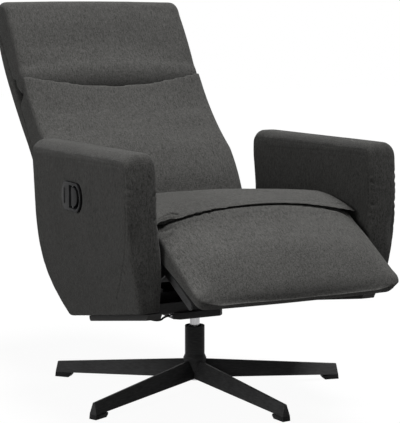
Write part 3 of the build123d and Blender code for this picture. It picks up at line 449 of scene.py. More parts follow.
@dataclass(frozen=True)
class Plywood:
    """Plywood with its grain along X, stained black."""

    name: str
    pale: Colour = (0.020, 0.019, 0.018)
    deep: Colour = (0.010, 0.010, 0.010)
    ply: float = 0.0030

    def material(self) -> bpy.types.Material:
        """The wood's material.

        Returns:
            The material.
        """
        m = Nodes(self.name)
        grain = m.space(0.0, (0.12, 1.0, 1.0))
        lines = m.noise(grain, 160.0, 5.0, 0.6)
        plies = m.bands(m.space(), Axis.Z, self.ply, 0.2)
        figure = m.weighed((lines, 0.8), (plies, 0.2))
        colour = m.ramp(figure, ((0.35, self.deep), (0.62, self.pale)))
        rough = m.spread(lines, 0.55, 0.8)
        return m.finish(colour, rough, figure, 0.0003, Specular_IOR_Level=0.20)


@dataclass(frozen=True)
class MouldedPlastic:
    """Black plastic with a fine spark-eroded texture."""

    name: str
    tint: Colour = (0.0125, 0.0125, 0.0130)
    roughness: float = 0.46

    def material(self) -> bpy.types.Material:
        """The plastic's material.

        Returns:
            The material.
        """
        m = Nodes(self.name)
        plain = m.space()
        pits = m.noise(plain, 2600.0, 2.0)
        wipe = m.noise(plain, 45.0, 4.0)
        colour = m.ramp(wipe, ((0.35, self.tint), (0.7, tuple(1.8 * c for c in self.tint))))
        colour = m.mix(m.math("MULTIPLY", m.edge(0.53, 0.60), 0.35, True), colour, (0.07, 0.07, 0.07))
        rough = m.spread(wipe, self.roughness - 0.08, self.roughness + 0.12)
        return m.finish(colour, rough, pits, 0.00010, Specular_IOR_Level=0.06)


@dataclass(frozen=True)
class ElasticBand:
    """Elastic webbing: ribbed black tape with two paler stripes of yarn."""

    name: str
    tint: Colour = (0.022, 0.022, 0.022)
    rib: float = 0.0022
    thread: float = 0.0012

    def material(self) -> bpy.types.Material:
        """The webbing's material.

        Returns:
            The material.
        """
        m = Nodes(self.name)
        plain = m.space()
        ribs = m.bands(plain, Axis.X, self.rib, 0.3)
        yarn = m.bands(plain, Axis.Y, self.thread, 0.3)
        stripe = tuple(3.2 * c for c in self.tint)
        colour = m.ramp(m.math("MULTIPLY", ribs, yarn), ((0.1, self.tint), (0.9, stripe)))
        height = m.math("ADD", ribs, m.math("MULTIPLY", yarn, 0.4))
        rough = m.spread(yarn, 0.8, 0.95)
        return m.finish(colour, rough, height, 0.0005, Specular_IOR_Level=0.10)


# ------------------------------------------------------------------ mesh tools
def coordinates(mesh: bpy.types.Mesh) -> Array:
    """All vertex positions of a mesh.

    Args:
        mesh: The mesh.

    Returns:
        N by 3 positions in metres.
    """
    co = np.empty(len(mesh.vertices) * 3, np.float32)
    mesh.vertices.foreach_get("co", co)
    return co.reshape(-1, 3).astype(float)


def normals(mesh: bpy.types.Mesh) -> Array:
    """All vertex normals of a mesh.

    Args:
        mesh: The mesh.

    Returns:
        N by 3 unit vectors.
    """
    no = np.empty(len(mesh.vertices) * 3, np.float32)
    mesh.vertex_normals.foreach_get("vector", no)
    return no.reshape(-1, 3).astype(float)


def put(mesh: bpy.types.Mesh, co: Array) -> None:
    """Write vertex positions back to a mesh."""
    mesh.vertices.foreach_set("co", co.astype(np.float32).ravel())
    mesh.update()


def evaluated(obj: bpy.types.Object) -> bpy.types.Mesh:
    """The mesh of an object with its modifiers applied.

    Args:
        obj: The object.

    Returns:
        A new mesh.
    """
    graph = bpy.context.evaluated_depsgraph_get()
    graph.update()
    return bpy.data.meshes.new_from_object(obj.evaluated_get(graph))


def link(name: str, mesh: bpy.types.Mesh) -> bpy.types.Object:
    """Put a mesh in the scene as an object.

    Args:
        name: Name of the object.
        mesh: Its mesh.

    Returns:
        The new object.
    """
    obj = bpy.data.objects.new(name, mesh)
    bpy.context.scene.collection.objects.link(obj)
    return obj


def smooth_step(value: Array, low: float, high: float) -> Array:
    """Soft step from 0 at low to 1 at high.

    Args:
        value: Numbers to judge.
        low: Where the step starts.
        high: Where it ends, which may be below low.

    Returns:
        A share for each number.
    """
    t = np.clip((value - low) / (high - low), 0.0, 1.0)
    return t * t * (3.0 - 2.0 * t)


def undulation(points: Array, size: float, seed: float) -> Array:
    """Smooth random field about 0 over points.

    Args:
        points: N by 3 points in metres.
        size: Size of its features in metres.
        seed: Offset that picks another field.

    Returns:
        N numbers between about -1 and 1.
    """
    shift = Vector((seed, 2.0 * seed, -seed))
    return np.array([noise.noise(Vector(p) / size + shift) for p in points])


@dataclass(frozen=True)
class Fold:
    """A crease or ridge of cloth along a path, in the frame of its piece."""

    path: tuple[Point, ...]
    width: float
    height: float
    taper: bool = True

    def samples(self, where: SideFrame, step: float = 0.002) -> tuple[Array, Array]:
        """Points along the path and the share of the height at each.

        Args:
            where: Frame of the piece.
            step: Distance between points in metres.

        Returns:
            N by 3 points and N shares.
        """
        corners = where.world(self.path)
        chords = np.linalg.norm(np.diff(corners, axis=0), axis=1)
        run = np.concatenate([[0.0], np.cumsum(chords)])
        count = max(3, int(run[-1] / step))
        at = np.linspace(0.0, run[-1], count)
        points = np.column_stack([np.interp(at, run, corners[:, k]) for k in range(3)])
        for _ in range(6):
            points[1:-1] = 0.25 * points[:-2] + 0.5 * points[1:-1] + 0.25 * points[2:]
        share = np.clip(np.sin(np.pi * at / run[-1]), 0.0, 1.0) ** 0.7 if self.taper else np.ones(count)
        return points, share


REACH = 2.4  # a fold acts to this many times its width
MARGIN = 0.03  # metres round its path that are searched


def pressed(mesh: bpy.types.Mesh, folds: Sequence[Fold], where: SideFrame) -> None:
    """Press creases and ridges into a mesh along its normals.

    Args:
        mesh: The mesh, changed in place.
        folds: The creases and ridges.
        where: Frame in which their paths are given.
    """
    if not folds:
        return
    co, no = coordinates(mesh), normals(mesh)
    surface = BVHTree.FromPolygons([Vector(p) for p in co], [tuple(f.vertices) for f in mesh.polygons])
    move = np.zeros(len(co))
    for fold in folds:
        points, share = fold.samples(where)
        tree = KDTree(len(points))
        for i, point in enumerate(points):
            tree.insert(surface.find_nearest(Vector(point))[0], i)
        tree.balance()
        reach = REACH * fold.width
        low, high = points.min(0) - reach - MARGIN, points.max(0) + reach + MARGIN
        for i in np.where(np.all((co > low) & (co < high), axis=1))[0]:
            _, index, distance = tree.find(Vector(co[i]))
            if distance < reach:
                move[i] += fold.height * share[index] * math.exp(-(distance / fold.width) ** 2)
    put(mesh, co + no * move[:, None])


# ------------------------------------------------------------------ upholstery
Shift = Callable[[Array], Array]


class Measure(Enum):
    """What a soft step of a cover is measured along, in the frame of its piece."""

    SIDEWAYS = "away from the middle"
    AHEAD = "towards the front"
    BEHIND = "towards the rear"
    UP = "upwards"
    AROUND = "away from the joint"
    FACING_UP = "how far the cover faces up"
    FACING_SIDE = "how far the cover faces sideways"


@dataclass(frozen=True)
class Loose:
    """Where a cover is loose and puffs up: past every one of its soft steps.

    A step is its measure, where it starts and where it ends. give is how loose the cover gets there.
    """

    steps: tuple[tuple[Measure, float, float], ...]
    give: float = 1.0

    def held(self, p: Array, n: Array) -> Array:
        """How firmly each point is held while the cover puffs up.

        Args:
            p: Points in the piece's frame.
            n: Their normals.

        Returns:
            A share for each point, 1 where it stays still.
        """
        along = {Measure.SIDEWAYS: np.abs(p[:, 0]), Measure.AHEAD: -p[:, 1], Measure.BEHIND: p[:, 1],
                 Measure.UP: p[:, 2], Measure.AROUND: np.hypot(p[:, 1], p[:, 2]),
                 Measure.FACING_UP: n[:, 2], Measure.FACING_SIDE: np.abs(n[:, 0])}
        free = self.give
        for measure, start, end in self.steps:
            free = free * smooth_step(along[measure], start, end)
        return np.clip(1.0 - free, 0.0, 1.0)


@dataclass
class Upholstery:
    """One padded piece: its foam block is remeshed, puffed up as cloth and then creased.

    loose says where the cover puffs up, and shift moves the finished surface, as where foam has settled.
    """

    node: str
    body: str
    where: SideFrame
    cloth: WovenCloth
    loose: Loose
    folds: tuple[Fold, ...] = ()
    shift: Shift | None = None
    voxel: float = 0.005
    smoothing: int = 5
    shrink: float = 0.0012
    cap: float = 0.024
    proud: float = 0.003
    pressure: float = 4.0
    sink: float = 0.004
    ripple: float = 0.0011
    fill: float = 0.7
    steps: int = 20
    quality: int = 4
    stretch_stiffness: float = 12.0
    bend_stiffness: float = 0.6
    broad_wave: float = 0.075
    fine_wave: float = 0.028

    def block(self) -> bpy.types.Object:
        """The foam block as an even mesh with softened edges.

        Returns:
            The new object.
        """
        obj = link(self.node + "_padded", frame["nodes"][self.node].data.copy())
        obj.data.materials.clear()
        weld = obj.modifiers.new("weld", "WELD")
        weld.merge_threshold = 0.00005
        even = obj.modifiers.new("even", "REMESH")
        even.mode = "VOXEL"
        even.voxel_size = self.voxel
        even.use_smooth_shade = True
        soft = obj.modifiers.new("soft", "SMOOTH")
        soft.iterations = self.smoothing
        soft.factor = 0.5
        self._bake(obj)
        return obj

    def _bake(self, obj: bpy.types.Object) -> None:
        """Replace an object's mesh by its evaluated one and drop the modifiers.

        Args:
            obj: The object.
        """
        mesh = evaluated(obj)
        obj.modifiers.clear()
        old = obj.data
        obj.data = mesh
        bpy.data.meshes.remove(old)
        mesh.polygons.foreach_set("use_smooth", [True] * len(mesh.polygons))

    def puff(self, obj: bpy.types.Object) -> None:
        """Blow the block up as cloth, with its held places still and its travel capped.

        Args:
            obj: The block.
        """
        mesh = obj.data
        start, no = coordinates(mesh), normals(mesh)
        held = self.loose.held(self.where.local(start), no)
        free = 1.0 - held
        limit = start - no * (self.shrink - self.proud * free)[:, None]
        put(mesh, start - no * (self.shrink + self.sink * free)[:, None])
        group = obj.vertex_groups.new(name="held")
        for level in range(1, 11):
            chosen = np.where(np.round(held * 10) == level)[0]
            group.add([int(i) for i in chosen], level / 10.0, "REPLACE")
        cloth = obj.modifiers.new("cloth", "CLOTH")
        settings = cloth.settings
        settings.use_pressure = True
        settings.uniform_pressure_force = self.pressure
        settings.effector_weights.gravity = 0.0
        settings.vertex_group_mass = "held"
        settings.quality = self.quality
        settings.tension_stiffness = settings.compression_stiffness = self.stretch_stiffness
        settings.bending_stiffness = self.bend_stiffness
        cloth.collision_settings.use_collision = False
        cloth.collision_settings.use_self_collision = False
        for step in range(1, self.steps + 1):
            bpy.context.scene.frame_set(step)
        graph = bpy.context.evaluated_depsgraph_get()
        moved = coordinates(obj.evaluated_get(graph).data)
        obj.modifiers.remove(cloth)
        obj.vertex_groups.clear()
        bpy.context.scene.frame_set(1)
        base = coordinates(mesh)
        travel = moved - base
        length = np.linalg.norm(travel, axis=1)
        travel *= np.minimum(1.0, self.cap / np.maximum(length, 1e-9))[:, None]
        after = base + travel
        over = np.einsum("ij,ij->i", after - limit, no)
        after -= no * np.maximum(over, 0.0)[:, None]
        put(mesh, after)

    def build(self) -> None:
        """Make the piece, dress it and hang it on its body."""
        obj = self.block()
        self.puff(obj)
        fine = obj.modifiers.new("fine", "SUBSURF")
        fine.levels = fine.render_levels = 1
        self._bake(obj)
        co, no = coordinates(obj.data), normals(obj.data)
        free = 1.0 - self.loose.held(self.where.local(co), no)
        seed = sum(map(ord, self.node)) * 0.137
        wave = undulation(co, self.broad_wave, seed) + 0.5 * undulation(co, self.fine_wave, seed + 4.0)
        put(obj.data, co + no * (self.ripple * wave * free)[:, None])
        if self.shift:
            local = self.where.local(coordinates(obj.data))
            local += self.shift(local)
            put(obj.data, self.where.world(local))
        pressed(obj.data, self.folds, self.where)
        obj.data.materials.append(FINISHES[self.cloth.name])
        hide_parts(self.node)
        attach(obj, self.body)
        LOG.info("%s: %d faces", obj.name, len(obj.data.polygons))


SEAT_CLOTH = WovenCloth("cloth_seat", Axis.Y)
LEGREST_CLOTH = WovenCloth("cloth_legrest", Axis.Y, LEGREST_SLOPE)
BACK_CLOTH = WovenCloth("cloth_back", Axis.Z, -RECLINE)
# The arms' cloth is the same cloth as the rest, with its dark and light colours 0.85 times theirs. This
# darker copy is painted shade for the arms' shaded faces.
ARM_CLOTH_SHADED = WovenCloth("cloth_arm_painted_shade", dark=(0.0290, 0.0286, 0.0271), light=(0.1110, 0.1097, 0.1050))
COAT = PowderCoat("powder_coat")
ROD_STEEL = TurnedSteel("turned_steel")
BLACK_STEEL = TurnedSteel("blackened_steel", (0.10, 0.10, 0.10), 0.38)
STAINED = Plywood("stained_plywood")
PLASTIC = MouldedPlastic("moulded_plastic")
SLEEVE = MouldedPlastic("cable_sleeve", (0.014, 0.014, 0.014), 0.38)
TAPE = ElasticBand("elastic_webbing")
# Near-black lining cloth: the cloth of a real lining, and its near-black colour is also painted shade for the
# space under the seat.
SHADE_FELT = WovenCloth("lining_cloth_painted_shade", Axis.Z, 0.0, (0.006, 0.006, 0.006), (0.017, 0.017, 0.017), 0.0011)
FINISHES: dict[str, bpy.types.Material] = {
    finish.name: finish.material()
    for finish in (SEAT_CLOTH, LEGREST_CLOTH, BACK_CLOTH, ARM_CLOTH_SHADED, COAT, ROD_STEEL, BLACK_STEEL, STAINED,
                   PLASTIC, SLEEVE, TAPE, SHADE_FELT)
}


@dataclass
class Cushions:
    """The seat, legrest, lumbar and head cushions and the back's shell.

    Each cushion is held where it rolls in, at its sides and on its board, and the shell but for its
    rear face. The legrest's foam rolls off at its sides and nose, and its cover hangs below the nose.
    A span is where a soft step starts and ends, in metres.
    """

    seat: Loose = Loose(((Measure.FACING_UP, 0.35, 0.8), (Measure.SIDEWAYS, 0.252, 0.215),
                         (Measure.BEHIND, -0.312, -0.270), (Measure.BEHIND, 0.195, 0.165)))
    legrest: Loose = Loose(((Measure.AHEAD, 0.030, 0.125), (Measure.UP, -0.006, 0.012),
                            (Measure.AROUND, 0.078, 0.130), (Measure.SIDEWAYS, 0.262, 0.225)))
    lumbar: Loose = Loose(((Measure.AHEAD, -0.010, 0.008), (Measure.UP, 0.020, 0.140),
                           (Measure.UP, 0.360, 0.230), (Measure.SIDEWAYS, 0.256, 0.215)))
    head: Loose = Loose(((Measure.AHEAD, 0.000, 0.045), (Measure.UP, -0.030, 0.120),
                         (Measure.UP, 0.250, 0.160), (Measure.SIDEWAYS, 0.256, 0.215)))
    shell: Loose = Loose(((Measure.BEHIND, 0.075, 0.090), (Measure.SIDEWAYS, 0.250, 0.200)), 0.6)
    foam_top: Span = (0.005, 0.035)
    foam_sides: Span = (0.185, 0.254)
    crown: float = 0.009
    crown_start: float = 0.040
    crown_length: float = 0.190
    side_fall: float = 0.007
    nose_fall: float = 0.029
    nose_start: float = 0.115
    nose_length: float = 0.130
    hang_ahead: Span = (0.200, 0.234)
    hang_below: Span = (0.040, -0.012)
    hang_sides: Span = (0.250, 0.225)
    hang: float = 0.0085
    hang_forward: float = 0.0030
    seat_folds: tuple[Fold, ...] = (
        Fold(((-0.1843, -0.3154, 0.3245), (-0.1591, -0.3136, 0.3294), (-0.0962, -0.3111, 0.3378),
              (-0.0307, -0.3059, 0.3432), (0.0162, -0.2979, 0.3454), (0.0628, -0.2914, 0.3452),
              (0.1073, -0.2902, 0.3421), (0.1765, -0.2856, 0.3344), (0.2209, -0.2869, 0.3262)),
             0.0036, -0.0026, False),
        Fold(((-0.2450, -0.2960, 0.3176), (-0.2246, -0.2921, 0.3234), (-0.2079, -0.2880, 0.3280),
              (-0.1959, -0.2949, 0.3287), (-0.1840, -0.3120, 0.3250)), 0.0040, -0.0086),
        Fold(((-0.2510, -0.3101, 0.3126), (-0.2291, -0.3084, 0.3178), (-0.2107, -0.3052, 0.3228),
              (-0.1900, -0.3112, 0.3240)), 0.0040, -0.0080),
        Fold(((-0.2480, -0.3030, 0.3150), (-0.2268, -0.3000, 0.3205), (-0.2090, -0.2965, 0.3252),
              (-0.1960, -0.3040, 0.3262)), 0.0045, 0.0040),
        Fold(((-0.2496, -0.3162, 0.3081), (-0.2258, -0.3164, 0.3157), (-0.2022, -0.3173, 0.3204)),
             0.0040, -0.0048),
        Fold(((0.2480, -0.2780, 0.3150), (0.2300, -0.2800, 0.3230), (0.2080, -0.2760, 0.3300)),
             0.0045, -0.0048),
    )
    legrest_folds: tuple[Fold, ...] = (
        Fold(((0.1740, 0.0012, 0.0654), (0.1941, -0.0030, 0.0620), (0.2144, -0.0073, 0.0579),
              (0.2340, -0.0140, 0.0530), (0.2500, -0.0200, 0.0480)), 0.0036, -0.0045),
        Fold(((0.1850, -0.0090, 0.0640), (0.2090, -0.0150, 0.0590), (0.2330, -0.0230, 0.0530)),
             0.0060, 0.0022),
        Fold(((-0.2500, -0.0150, 0.0480), (-0.2330, -0.0180, 0.0530), (-0.2120, -0.0160, 0.0580)),
             0.0045, -0.0035),
        Fold(((-0.2510, -0.0420, 0.0420), (-0.2400, -0.0380, 0.0480), (-0.2250, -0.0300, 0.0540)),
             0.0050, -0.0030),
    )

    def _legrest_shift(self, p: Array) -> Array:
        """How the legrest's foam rolls off and how its cover hangs.

        Args:
            p: Points in the legrest's frame.

        Returns:
            How far each point moves.
        """
        out = np.zeros_like(p)
        top = smooth_step(p[:, 2], *self.foam_top)
        side = smooth_step(np.abs(p[:, 0]), *self.foam_sides)
        nose = np.clip((-p[:, 1] - self.nose_start) / self.nose_length, 0.0, 1.0)
        along = np.clip((-p[:, 1] - self.crown_start) / self.crown_length, 0.0, 1.0)
        rise = np.sin(np.pi * along) ** 2 * (1.0 - side)
        fall = self.side_fall * side ** 2
        out[:, 2] += top * (self.crown * rise - fall - self.nose_fall * nose ** 2.2 * (1.0 - side))
        loose = smooth_step(-p[:, 1], *self.hang_ahead) * smooth_step(p[:, 2], *self.hang_below)
        loose *= smooth_step(np.abs(p[:, 0]), *self.hang_sides)
        out[:, 2] -= self.hang * loose
        out[:, 1] -= self.hang_forward * loose
        return out

    def build(self) -> None:
        """Make the five pieces."""
        Upholstery("seat_cushion", "seat", SEAT, SEAT_CLOTH, self.seat, self.seat_folds, voxel=0.0042,
                   smoothing=3).build()
        Upholstery("legrest_cushion", "legrest", LEGREST, LEGREST_CLOTH, self.legrest, self.legrest_folds,
                   shift=self._legrest_shift).build()
        Upholstery("lumbar_cushion", "back", BACK, BACK_CLOTH, self.lumbar).build()
        Upholstery("headrest_cushion", "headrest", HEAD, BACK_CLOTH, self.head, proud=0.001).build()
        Upholstery("back_shell", "back", BACK, BACK_CLOTH, self.shell, fill=0.4).build()


@dataclass
class Arms:
    """The two upholstered arms, each with a stitched seam round both side panels.

    The sizes are in the seat's frame, with x measured outwards. The seam's points are y and z, turn is
    the last one along the top and front picks those down the front edge. A crease of the front is given
    by its x, its upper and lower end and its height. An arm puffs up on its faces, but not at its foot.
    """

    outer: float = 0.3450
    inner: float = 0.2650
    seam: tuple[tuple[float, float], ...] = (
        (0.1179, 0.4205), (0.0277, 0.4248), (-0.1160, 0.4317), (-0.2262, 0.4360), (-0.3091, 0.4382),
        (-0.3330, 0.4355), (-0.3430, 0.4240), (-0.3455, 0.4000), (-0.3465, 0.3709), (-0.3474, 0.3287),
        (-0.3414, 0.2852), (-0.3202, 0.2346), (-0.2845, 0.1784), (-0.2548, 0.1400))
    turn: int = 4
    front: tuple[int, ...] = (12, 11, 10, 9, 6)
    gathers: int = 12
    gather_top: float = 0.400
    gather_pitch: float = 0.017
    creases: tuple[tuple[float, float, float, float], ...] = (
        (0.336, 0.345, 0.235, -0.0034), (0.329, 0.330, 0.225, -0.0026), (0.322, 0.310, 0.240, -0.0018))
    loose: Loose = Loose(((Measure.FACING_SIDE, 0.90, 0.99), (Measure.UP, 0.12, 0.22)), 0.5)

    def _gathers(self, side: int, x: float, inwards: int) -> list[Fold]:
        """Short puckers that cross a seam down the front edge.

        Args:
            side: -1 or 1, the side of the chair.
            x: Distance of the seam from the middle.
            inwards: 1 where the front panel lies at a smaller x, otherwise -1.

        Returns:
            The puckers.
        """
        folds = []
        edge = [self.seam[i] for i in self.front]
        for i in range(self.gathers):
            z = self.gather_top - self.gather_pitch * i
            y = float(np.interp(z, [point[1] for point in edge], [point[0] for point in edge]))
            reach = 0.010 + 0.006 * math.sin(2.7 * i + x * 40)
            folds.append(Fold(((side * x, y, z), (side * (x - inwards * 0.5 * reach), y - 0.008, z - 0.004),
                               (side * (x - inwards * reach), y - 0.012, z - 0.011)),
                              0.0034, -0.0016 - 0.0008 * math.sin(1.9 * i)))
        return folds

    def _folds(self, side: int) -> tuple[Fold, ...]:
        """Seams, puckers and loose folds of one arm.

        Args:
            side: -1 or 1, the side of the chair.

        Returns:
            The folds.
        """
        folds = []
        for x, inwards in ((self.outer, 1), (self.inner, -1)):
            path = tuple((side * x, y, z) for y, z in self.seam)
            folds.append(Fold(path[:self.turn + 1], 0.0022, -0.0007, False))
            folds.append(Fold(path[self.turn:], 0.0024, -0.0020, False))
            folds.append(Fold(path, 0.0080, 0.0002, False))
            folds += self._gathers(side, x, inwards)
        for x, top, foot, depth in self.creases:
            folds.append(Fold(((side * x, -0.3560, top), (side * (x - 0.005), -0.3590, (top + foot) / 2),
                               (side * (x - 0.011), -0.3600, foot)), 0.0050, depth))
        return tuple(folds)

    def build(self) -> None:
        """Make both arms."""
        for name, side in (("arm_right", -1), ("arm_left", 1)):
            Upholstery(name, "seat", SEAT, ARM_CLOTH_SHADED, self.loose, self._folds(side), fill=0.5,
                       sink=0.002).build()


@dataclass
class ShadeLining:
    """Black lining cloth that closes the space under the seat at the rear, in metres. Such chairs have a
    lining, but this near-black sheet is also painted shade, put where the space under the seat lies in shade.

    It is stapled under the frame's rear rail and clipped round the rear cross tube.
    """

    half_width: float = 0.198
    top: tuple[float, float] = (0.0985, 0.3452)
    foot: tuple[float, float] = (0.0572, 0.2100)
    sag: float = 0.006
    ripple: float = 0.0022
    waves: float = 4.5
    hem: float = 0.002
    thickness: float = 0.0008
    columns: int = 60
    rows: int = 24

    def _surface(self) -> bpy.types.Mesh:
        """The hung cloth as a grid with soft ripples.

        Returns:
            The new mesh.
        """
        bm = bmesh.new()
        grid = []
        for i in range(self.rows + 1):
            v = i / self.rows
            row = []
            for k in range(self.columns + 1):
                u = k / self.columns
                hang = math.sin(math.pi * v)
                wave = math.sin(2 * math.pi * (self.waves * u + 0.25 * v)) * math.sin(math.pi * u)
                ripple = self.ripple * hang * wave
                y = self.top[0] + (self.foot[0] - self.top[0]) * v + self.sag * hang + ripple
                z = self.top[1] + (self.foot[1] - self.top[1]) * v - 0.3 * self.sag * hang
                row.append(bm.verts.new((SWIVEL_X + self.half_width * (2 * u - 1), y, z)))
            grid.append(row)
        for a, b in zip(grid, grid[1:]):
            for k in range(self.columns):
                bm.faces.new((a[k], a[k + 1], b[k + 1], b[k])).smooth = True
        mesh = bpy.data.meshes.new("seat_lining_painted_shade")
        bm.to_mesh(mesh)
        bm.free()
        return mesh

    def build(self) -> None:
        """Hang the cloth, give it its thickness and dress it."""
        obj = link("seat_lining_painted_shade", self._surface())
        solid = obj.modifiers.new("thick", "SOLIDIFY")
        solid.thickness = self.thickness
        solid.offset = 0.0
        mesh = evaluated(obj)
        obj.modifiers.clear()
        obj.data = mesh
        mesh.materials.append(FINISHES[SHADE_FELT.name])
        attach(obj, "seat")
        LOG.info("%s: %d faces", obj.name, len(mesh.polygons))


# ------------------------------------------------------------------ frame, base and mechanism
@dataclass
class Machined:
    """Hard pieces whose CAD shape is right: they get broken edges, or only their finish."""

    finish: PowderCoat | TurnedSteel | Plywood | MouldedPlastic | ElasticBand
    slot: Slot
    nodes: tuple[str, ...]
    chamfer: float = 0.0
    sharp: float = 32.0

    def _refined(self, node: str) -> bpy.types.Object:
        """A copy of a node with its sharp edges broken.

        Args:
            node: Name of the CAD node.

        Returns:
            The new object.
        """
        bm = bmesh.new()
        bm.from_mesh(frame["nodes"][node].data)
        bmesh.ops.remove_doubles(bm, verts=bm.verts, dist=0.00002)
        bmesh.ops.dissolve_limit(bm, angle_limit=math.radians(0.3), verts=bm.verts, edges=bm.edges)
        edges = [e for e in bm.edges
                 if len(e.link_faces) == 2 and e.calc_face_angle(0.0) > math.radians(self.sharp)]
        bmesh.ops.bevel(bm, geom=edges, offset=self.chamfer, segments=2, profile=0.6, affect="EDGES",
                        clamp_overlap=True)
        mesh = bpy.data.meshes.new(node + "_finished")
        bm.to_mesh(mesh)
        bm.free()
        mesh.polygons.foreach_set("use_smooth", [True] * len(mesh.polygons))
        mesh.set_sharp_from_angle(angle=math.radians(self.sharp))
        return link(node + "_finished", mesh)

    def build(self) -> None:
        """Dress the nodes."""
        material = FINISHES[self.finish.name]
        for node in self.nodes:
            obj = frame["nodes"][node]
            if self.chamfer:
                obj = self._refined(node)
                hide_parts(node)
                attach(obj, frame["nodes"][node]["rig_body"])
            obj.data.materials.clear()
            obj.data.materials.append(material)
        LOG.info("%s: %d pieces", self.finish.name, len(self.nodes))


@dataclass
class Frame:
    """Base, column, mechanism, boards and fixings, with the width of their broken edges in metres."""

    star_edge: float = 0.0011
    glide_edge: float = 0.0012
    fine_edge: float = 0.0006
    link_edge: float = 0.0005

    def build(self) -> None:
        """Dress every hard piece."""
        arms = tuple(f"star_arm_{i}" for i in range(1, 6))
        glides = tuple(f"foot_glide_{i}" for i in range(1, 6))
        sides = ("left", "right")
        links = tuple(f"{piece}_{side}" for side in sides
                      for piece in ("side_plate", "legrest_bracket", "crank", "rod", "back_bracket"))
        boards = tuple(f"{piece}_{side}" for side in sides for piece in ("arm_board", "arm_rail"))
        for group in (
            Machined(COAT, Slot.FRAME, arms, self.star_edge),
            Machined(COAT, Slot.FRAME, ("base_hub", "column_tube"), self.fine_edge),
            Machined(COAT, Slot.FRAME, ("swivel_plate", "cross_tube_front", "cross_tube_rear"),
                     self.fine_edge),
            Machined(COAT, Slot.FRAME, links, self.link_edge),
            Machined(COAT, Slot.FRAME, ("seat_frame", "torque_tube", "headrest_rod", "catch_housing")),
            Machined(PLASTIC, Slot.PLASTIC, glides, self.glide_edge),
            Machined(PLASTIC, Slot.PLASTIC, ("latch_bezel", "latch_lever"), self.fine_edge),
            Machined(PLASTIC, Slot.PLASTIC, ("upper_bush", "lower_bush")),
            Machined(ROD_STEEL, Slot.STEEL, ("column_spindle", "spindle_clip", "thrust_bearing",
                                             "opening_spring", "cable_ferrules")),
            Machined(BLACK_STEEL, Slot.STEEL, ("latch_pin",)),
            Machined(BLACK_STEEL, Slot.FIXINGS, ("plate_bolts", "arm_bolts", "legrest_screws",
                                                 "back_screws")),
            Machined(STAINED, Slot.BOARD, boards + ("legrest_board", "back_frame", "headrest_board")),
            Machined(SLEEVE, Slot.SLEEVE, ("release_cable",)),
            Machined(TAPE, Slot.WEBBING, ("seat_webbing",)),
        ):
            group.build()


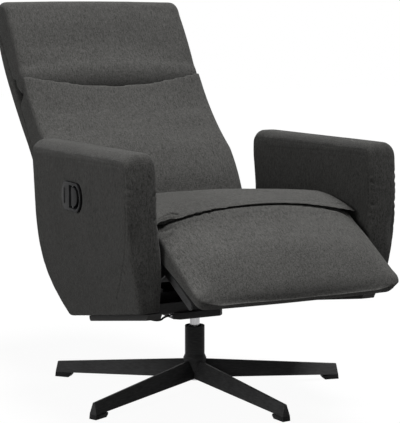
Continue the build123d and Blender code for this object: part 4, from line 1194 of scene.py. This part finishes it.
# ------------------------------------------------------------------ studio
@dataclass
class Studio:
    """Camera, soft light and a plain white floor.

    The eye and the lamps are placed in metres and the angles are in degrees. floor is the colour of the
    floor to the camera, bounce its colour as a light, and glow the share of it that shines by itself.
    """

    eye: Point = (SWIVEL_X - 1.6506, SWIVEL_Y - 3.2394, 0.9178)
    heading: float = 27.2012
    pitch: float = 7.567
    lens: float = 129.65
    sensor: float = 36.0
    overhead: Point = (0.20, -0.11, 1.0)
    overhead_power: float = 4.05
    overhead_spread: float = 22.0
    side: Point = (-2.3, -0.75, 1.35)
    side_aim: Point = (-0.30, -0.15, 0.55)
    side_size: float = 1.1
    side_power: float = 21.0
    sky: float = 0.06
    floor: float = 0.86
    bounce: float = 0.14
    glow: float = 0.95
    floor_size: float = 12.0
    floor_drop: float = 0.0005
    floor_roughness: float = 0.9
    far: float = 50.0

    def camera(self) -> None:
        """Set up the camera."""
        data = bpy.data.cameras.new("view")
        data.sensor_width = self.sensor
        data.lens = self.lens
        data.clip_end = self.far
        obj = bpy.data.objects.new("view", data)
        bpy.context.scene.collection.objects.link(obj)
        yaw, pitch = math.radians(self.heading), math.radians(self.pitch)
        aim = Vector((math.sin(yaw) * math.cos(pitch), math.cos(yaw) * math.cos(pitch), -math.sin(pitch)))
        obj.location = self.eye
        obj.rotation_mode = "QUATERNION"
        obj.rotation_quaternion = aim.to_track_quat("-Z", "Y")
        bpy.context.scene.camera = obj

    @staticmethod
    def _hang(name: str, data: bpy.types.Light, place: Point, aim: Point) -> None:
        """Hang a lamp.

        Args:
            name: Name of the lamp.
            data: The lamp.
            place: Where it hangs.
            aim: Where it shines.
        """
        obj = bpy.data.objects.new(name, data)
        bpy.context.scene.collection.objects.link(obj)
        obj.location = place
        obj.rotation_mode = "QUATERNION"
        obj.rotation_quaternion = (Vector(aim) - Vector(place)).to_track_quat("-Z", "Y")

    def light(self) -> None:
        """Hang the broad overhead light and the soft lamp at the left."""
        sun = bpy.data.lights.new("overhead", "SUN")
        sun.energy, sun.angle = self.overhead_power, math.radians(self.overhead_spread)
        self._hang("overhead", sun, self.overhead, (0.0, 0.0, 0.0))
        lamp = bpy.data.lights.new("left_side", "AREA")
        lamp.energy, lamp.size = self.side_power, self.side_size
        self._hang("left_side", lamp, self.side, self.side_aim)

    @staticmethod
    def _seen(tree: bpy.types.NodeTree) -> bpy.types.NodeSocket:
        """1 for rays from the camera or by way of gloss or glass, 0 for light.

        Args:
            tree: Node tree of the world or of the floor.

        Returns:
            The value output.
        """
        path = tree.nodes.new("ShaderNodeLightPath")
        total = path.outputs["Is Camera Ray"]
        for name in ("Is Glossy Ray", "Is Transmission Ray"):
            step = tree.nodes.new("ShaderNodeMath")
            step.operation = "MAXIMUM"
            tree.links.new(total, step.inputs[0])
            tree.links.new(path.outputs[name], step.inputs[1])
            total = step.outputs[0]
        return total

    def world(self) -> None:
        """Make the world, dim as a light and white to the camera and to reflections."""
        scene = bpy.context.scene
        scene.view_settings.view_transform = "Standard"
        world = bpy.data.worlds.new("studio")
        scene.world = world
        world.use_nodes = True
        tree = world.node_tree
        background = tree.nodes["Background"]
        level = tree.nodes.new("ShaderNodeMapRange")
        level.inputs["To Min"].default_value = self.sky
        level.inputs["To Max"].default_value = 1.0
        tree.links.new(self._seen(tree), level.inputs["Value"])
        tree.links.new(level.outputs[0], background.inputs["Strength"])
        background.inputs["Color"].default_value = (1.0, 1.0, 1.0, 1.0)

    def ground(self) -> None:
        """Lay the floor, white to the camera and to reflections, with the chair's shadow kept."""
        bm = bmesh.new()
        bmesh.ops.create_grid(bm, x_segments=1, y_segments=1, size=self.floor_size)
        mesh = bpy.data.meshes.new("studio_floor")
        bm.to_mesh(mesh)
        bm.free()
        floor = link("studio_floor", mesh)
        floor.location = (0.0, 0.0, -self.floor_drop)
        m = Nodes("studio_white")
        m.feed(m.shader.inputs["Roughness"], self.floor_roughness)
        seen = self._seen(m.tree)
        m.feed(m.shader.inputs["Base Color"], m.mix(seen, (self.bounce,) * 3, (self.floor,) * 3))
        glow = m.add("ShaderNodeEmission")
        share = m.math("MULTIPLY", seen, self.glow)
        mixed = m.add("ShaderNodeMixShader", _0=share, _1=m.shader.outputs[0], _2=glow.outputs[0])
        m.feed(m.tree.nodes["Material Output"].inputs["Surface"], mixed.outputs[0])
        mesh.materials.append(m.material)

    def build(self) -> None:
        """Make the whole studio."""
        self.camera()
        self.light()
        self.world()
        self.ground()


def main() -> None:
    """Build the studio, the upholstery and the hard pieces in order."""
    logging.basicConfig(level=logging.INFO, format="%(name)s %(message)s")
    for part in (Studio(), Cushions(), Arms(), ShadeLining(), Frame()):
        part.build()
        LOG.info("%s done", type(part).__name__)


if __name__ == "__main__":
    main()
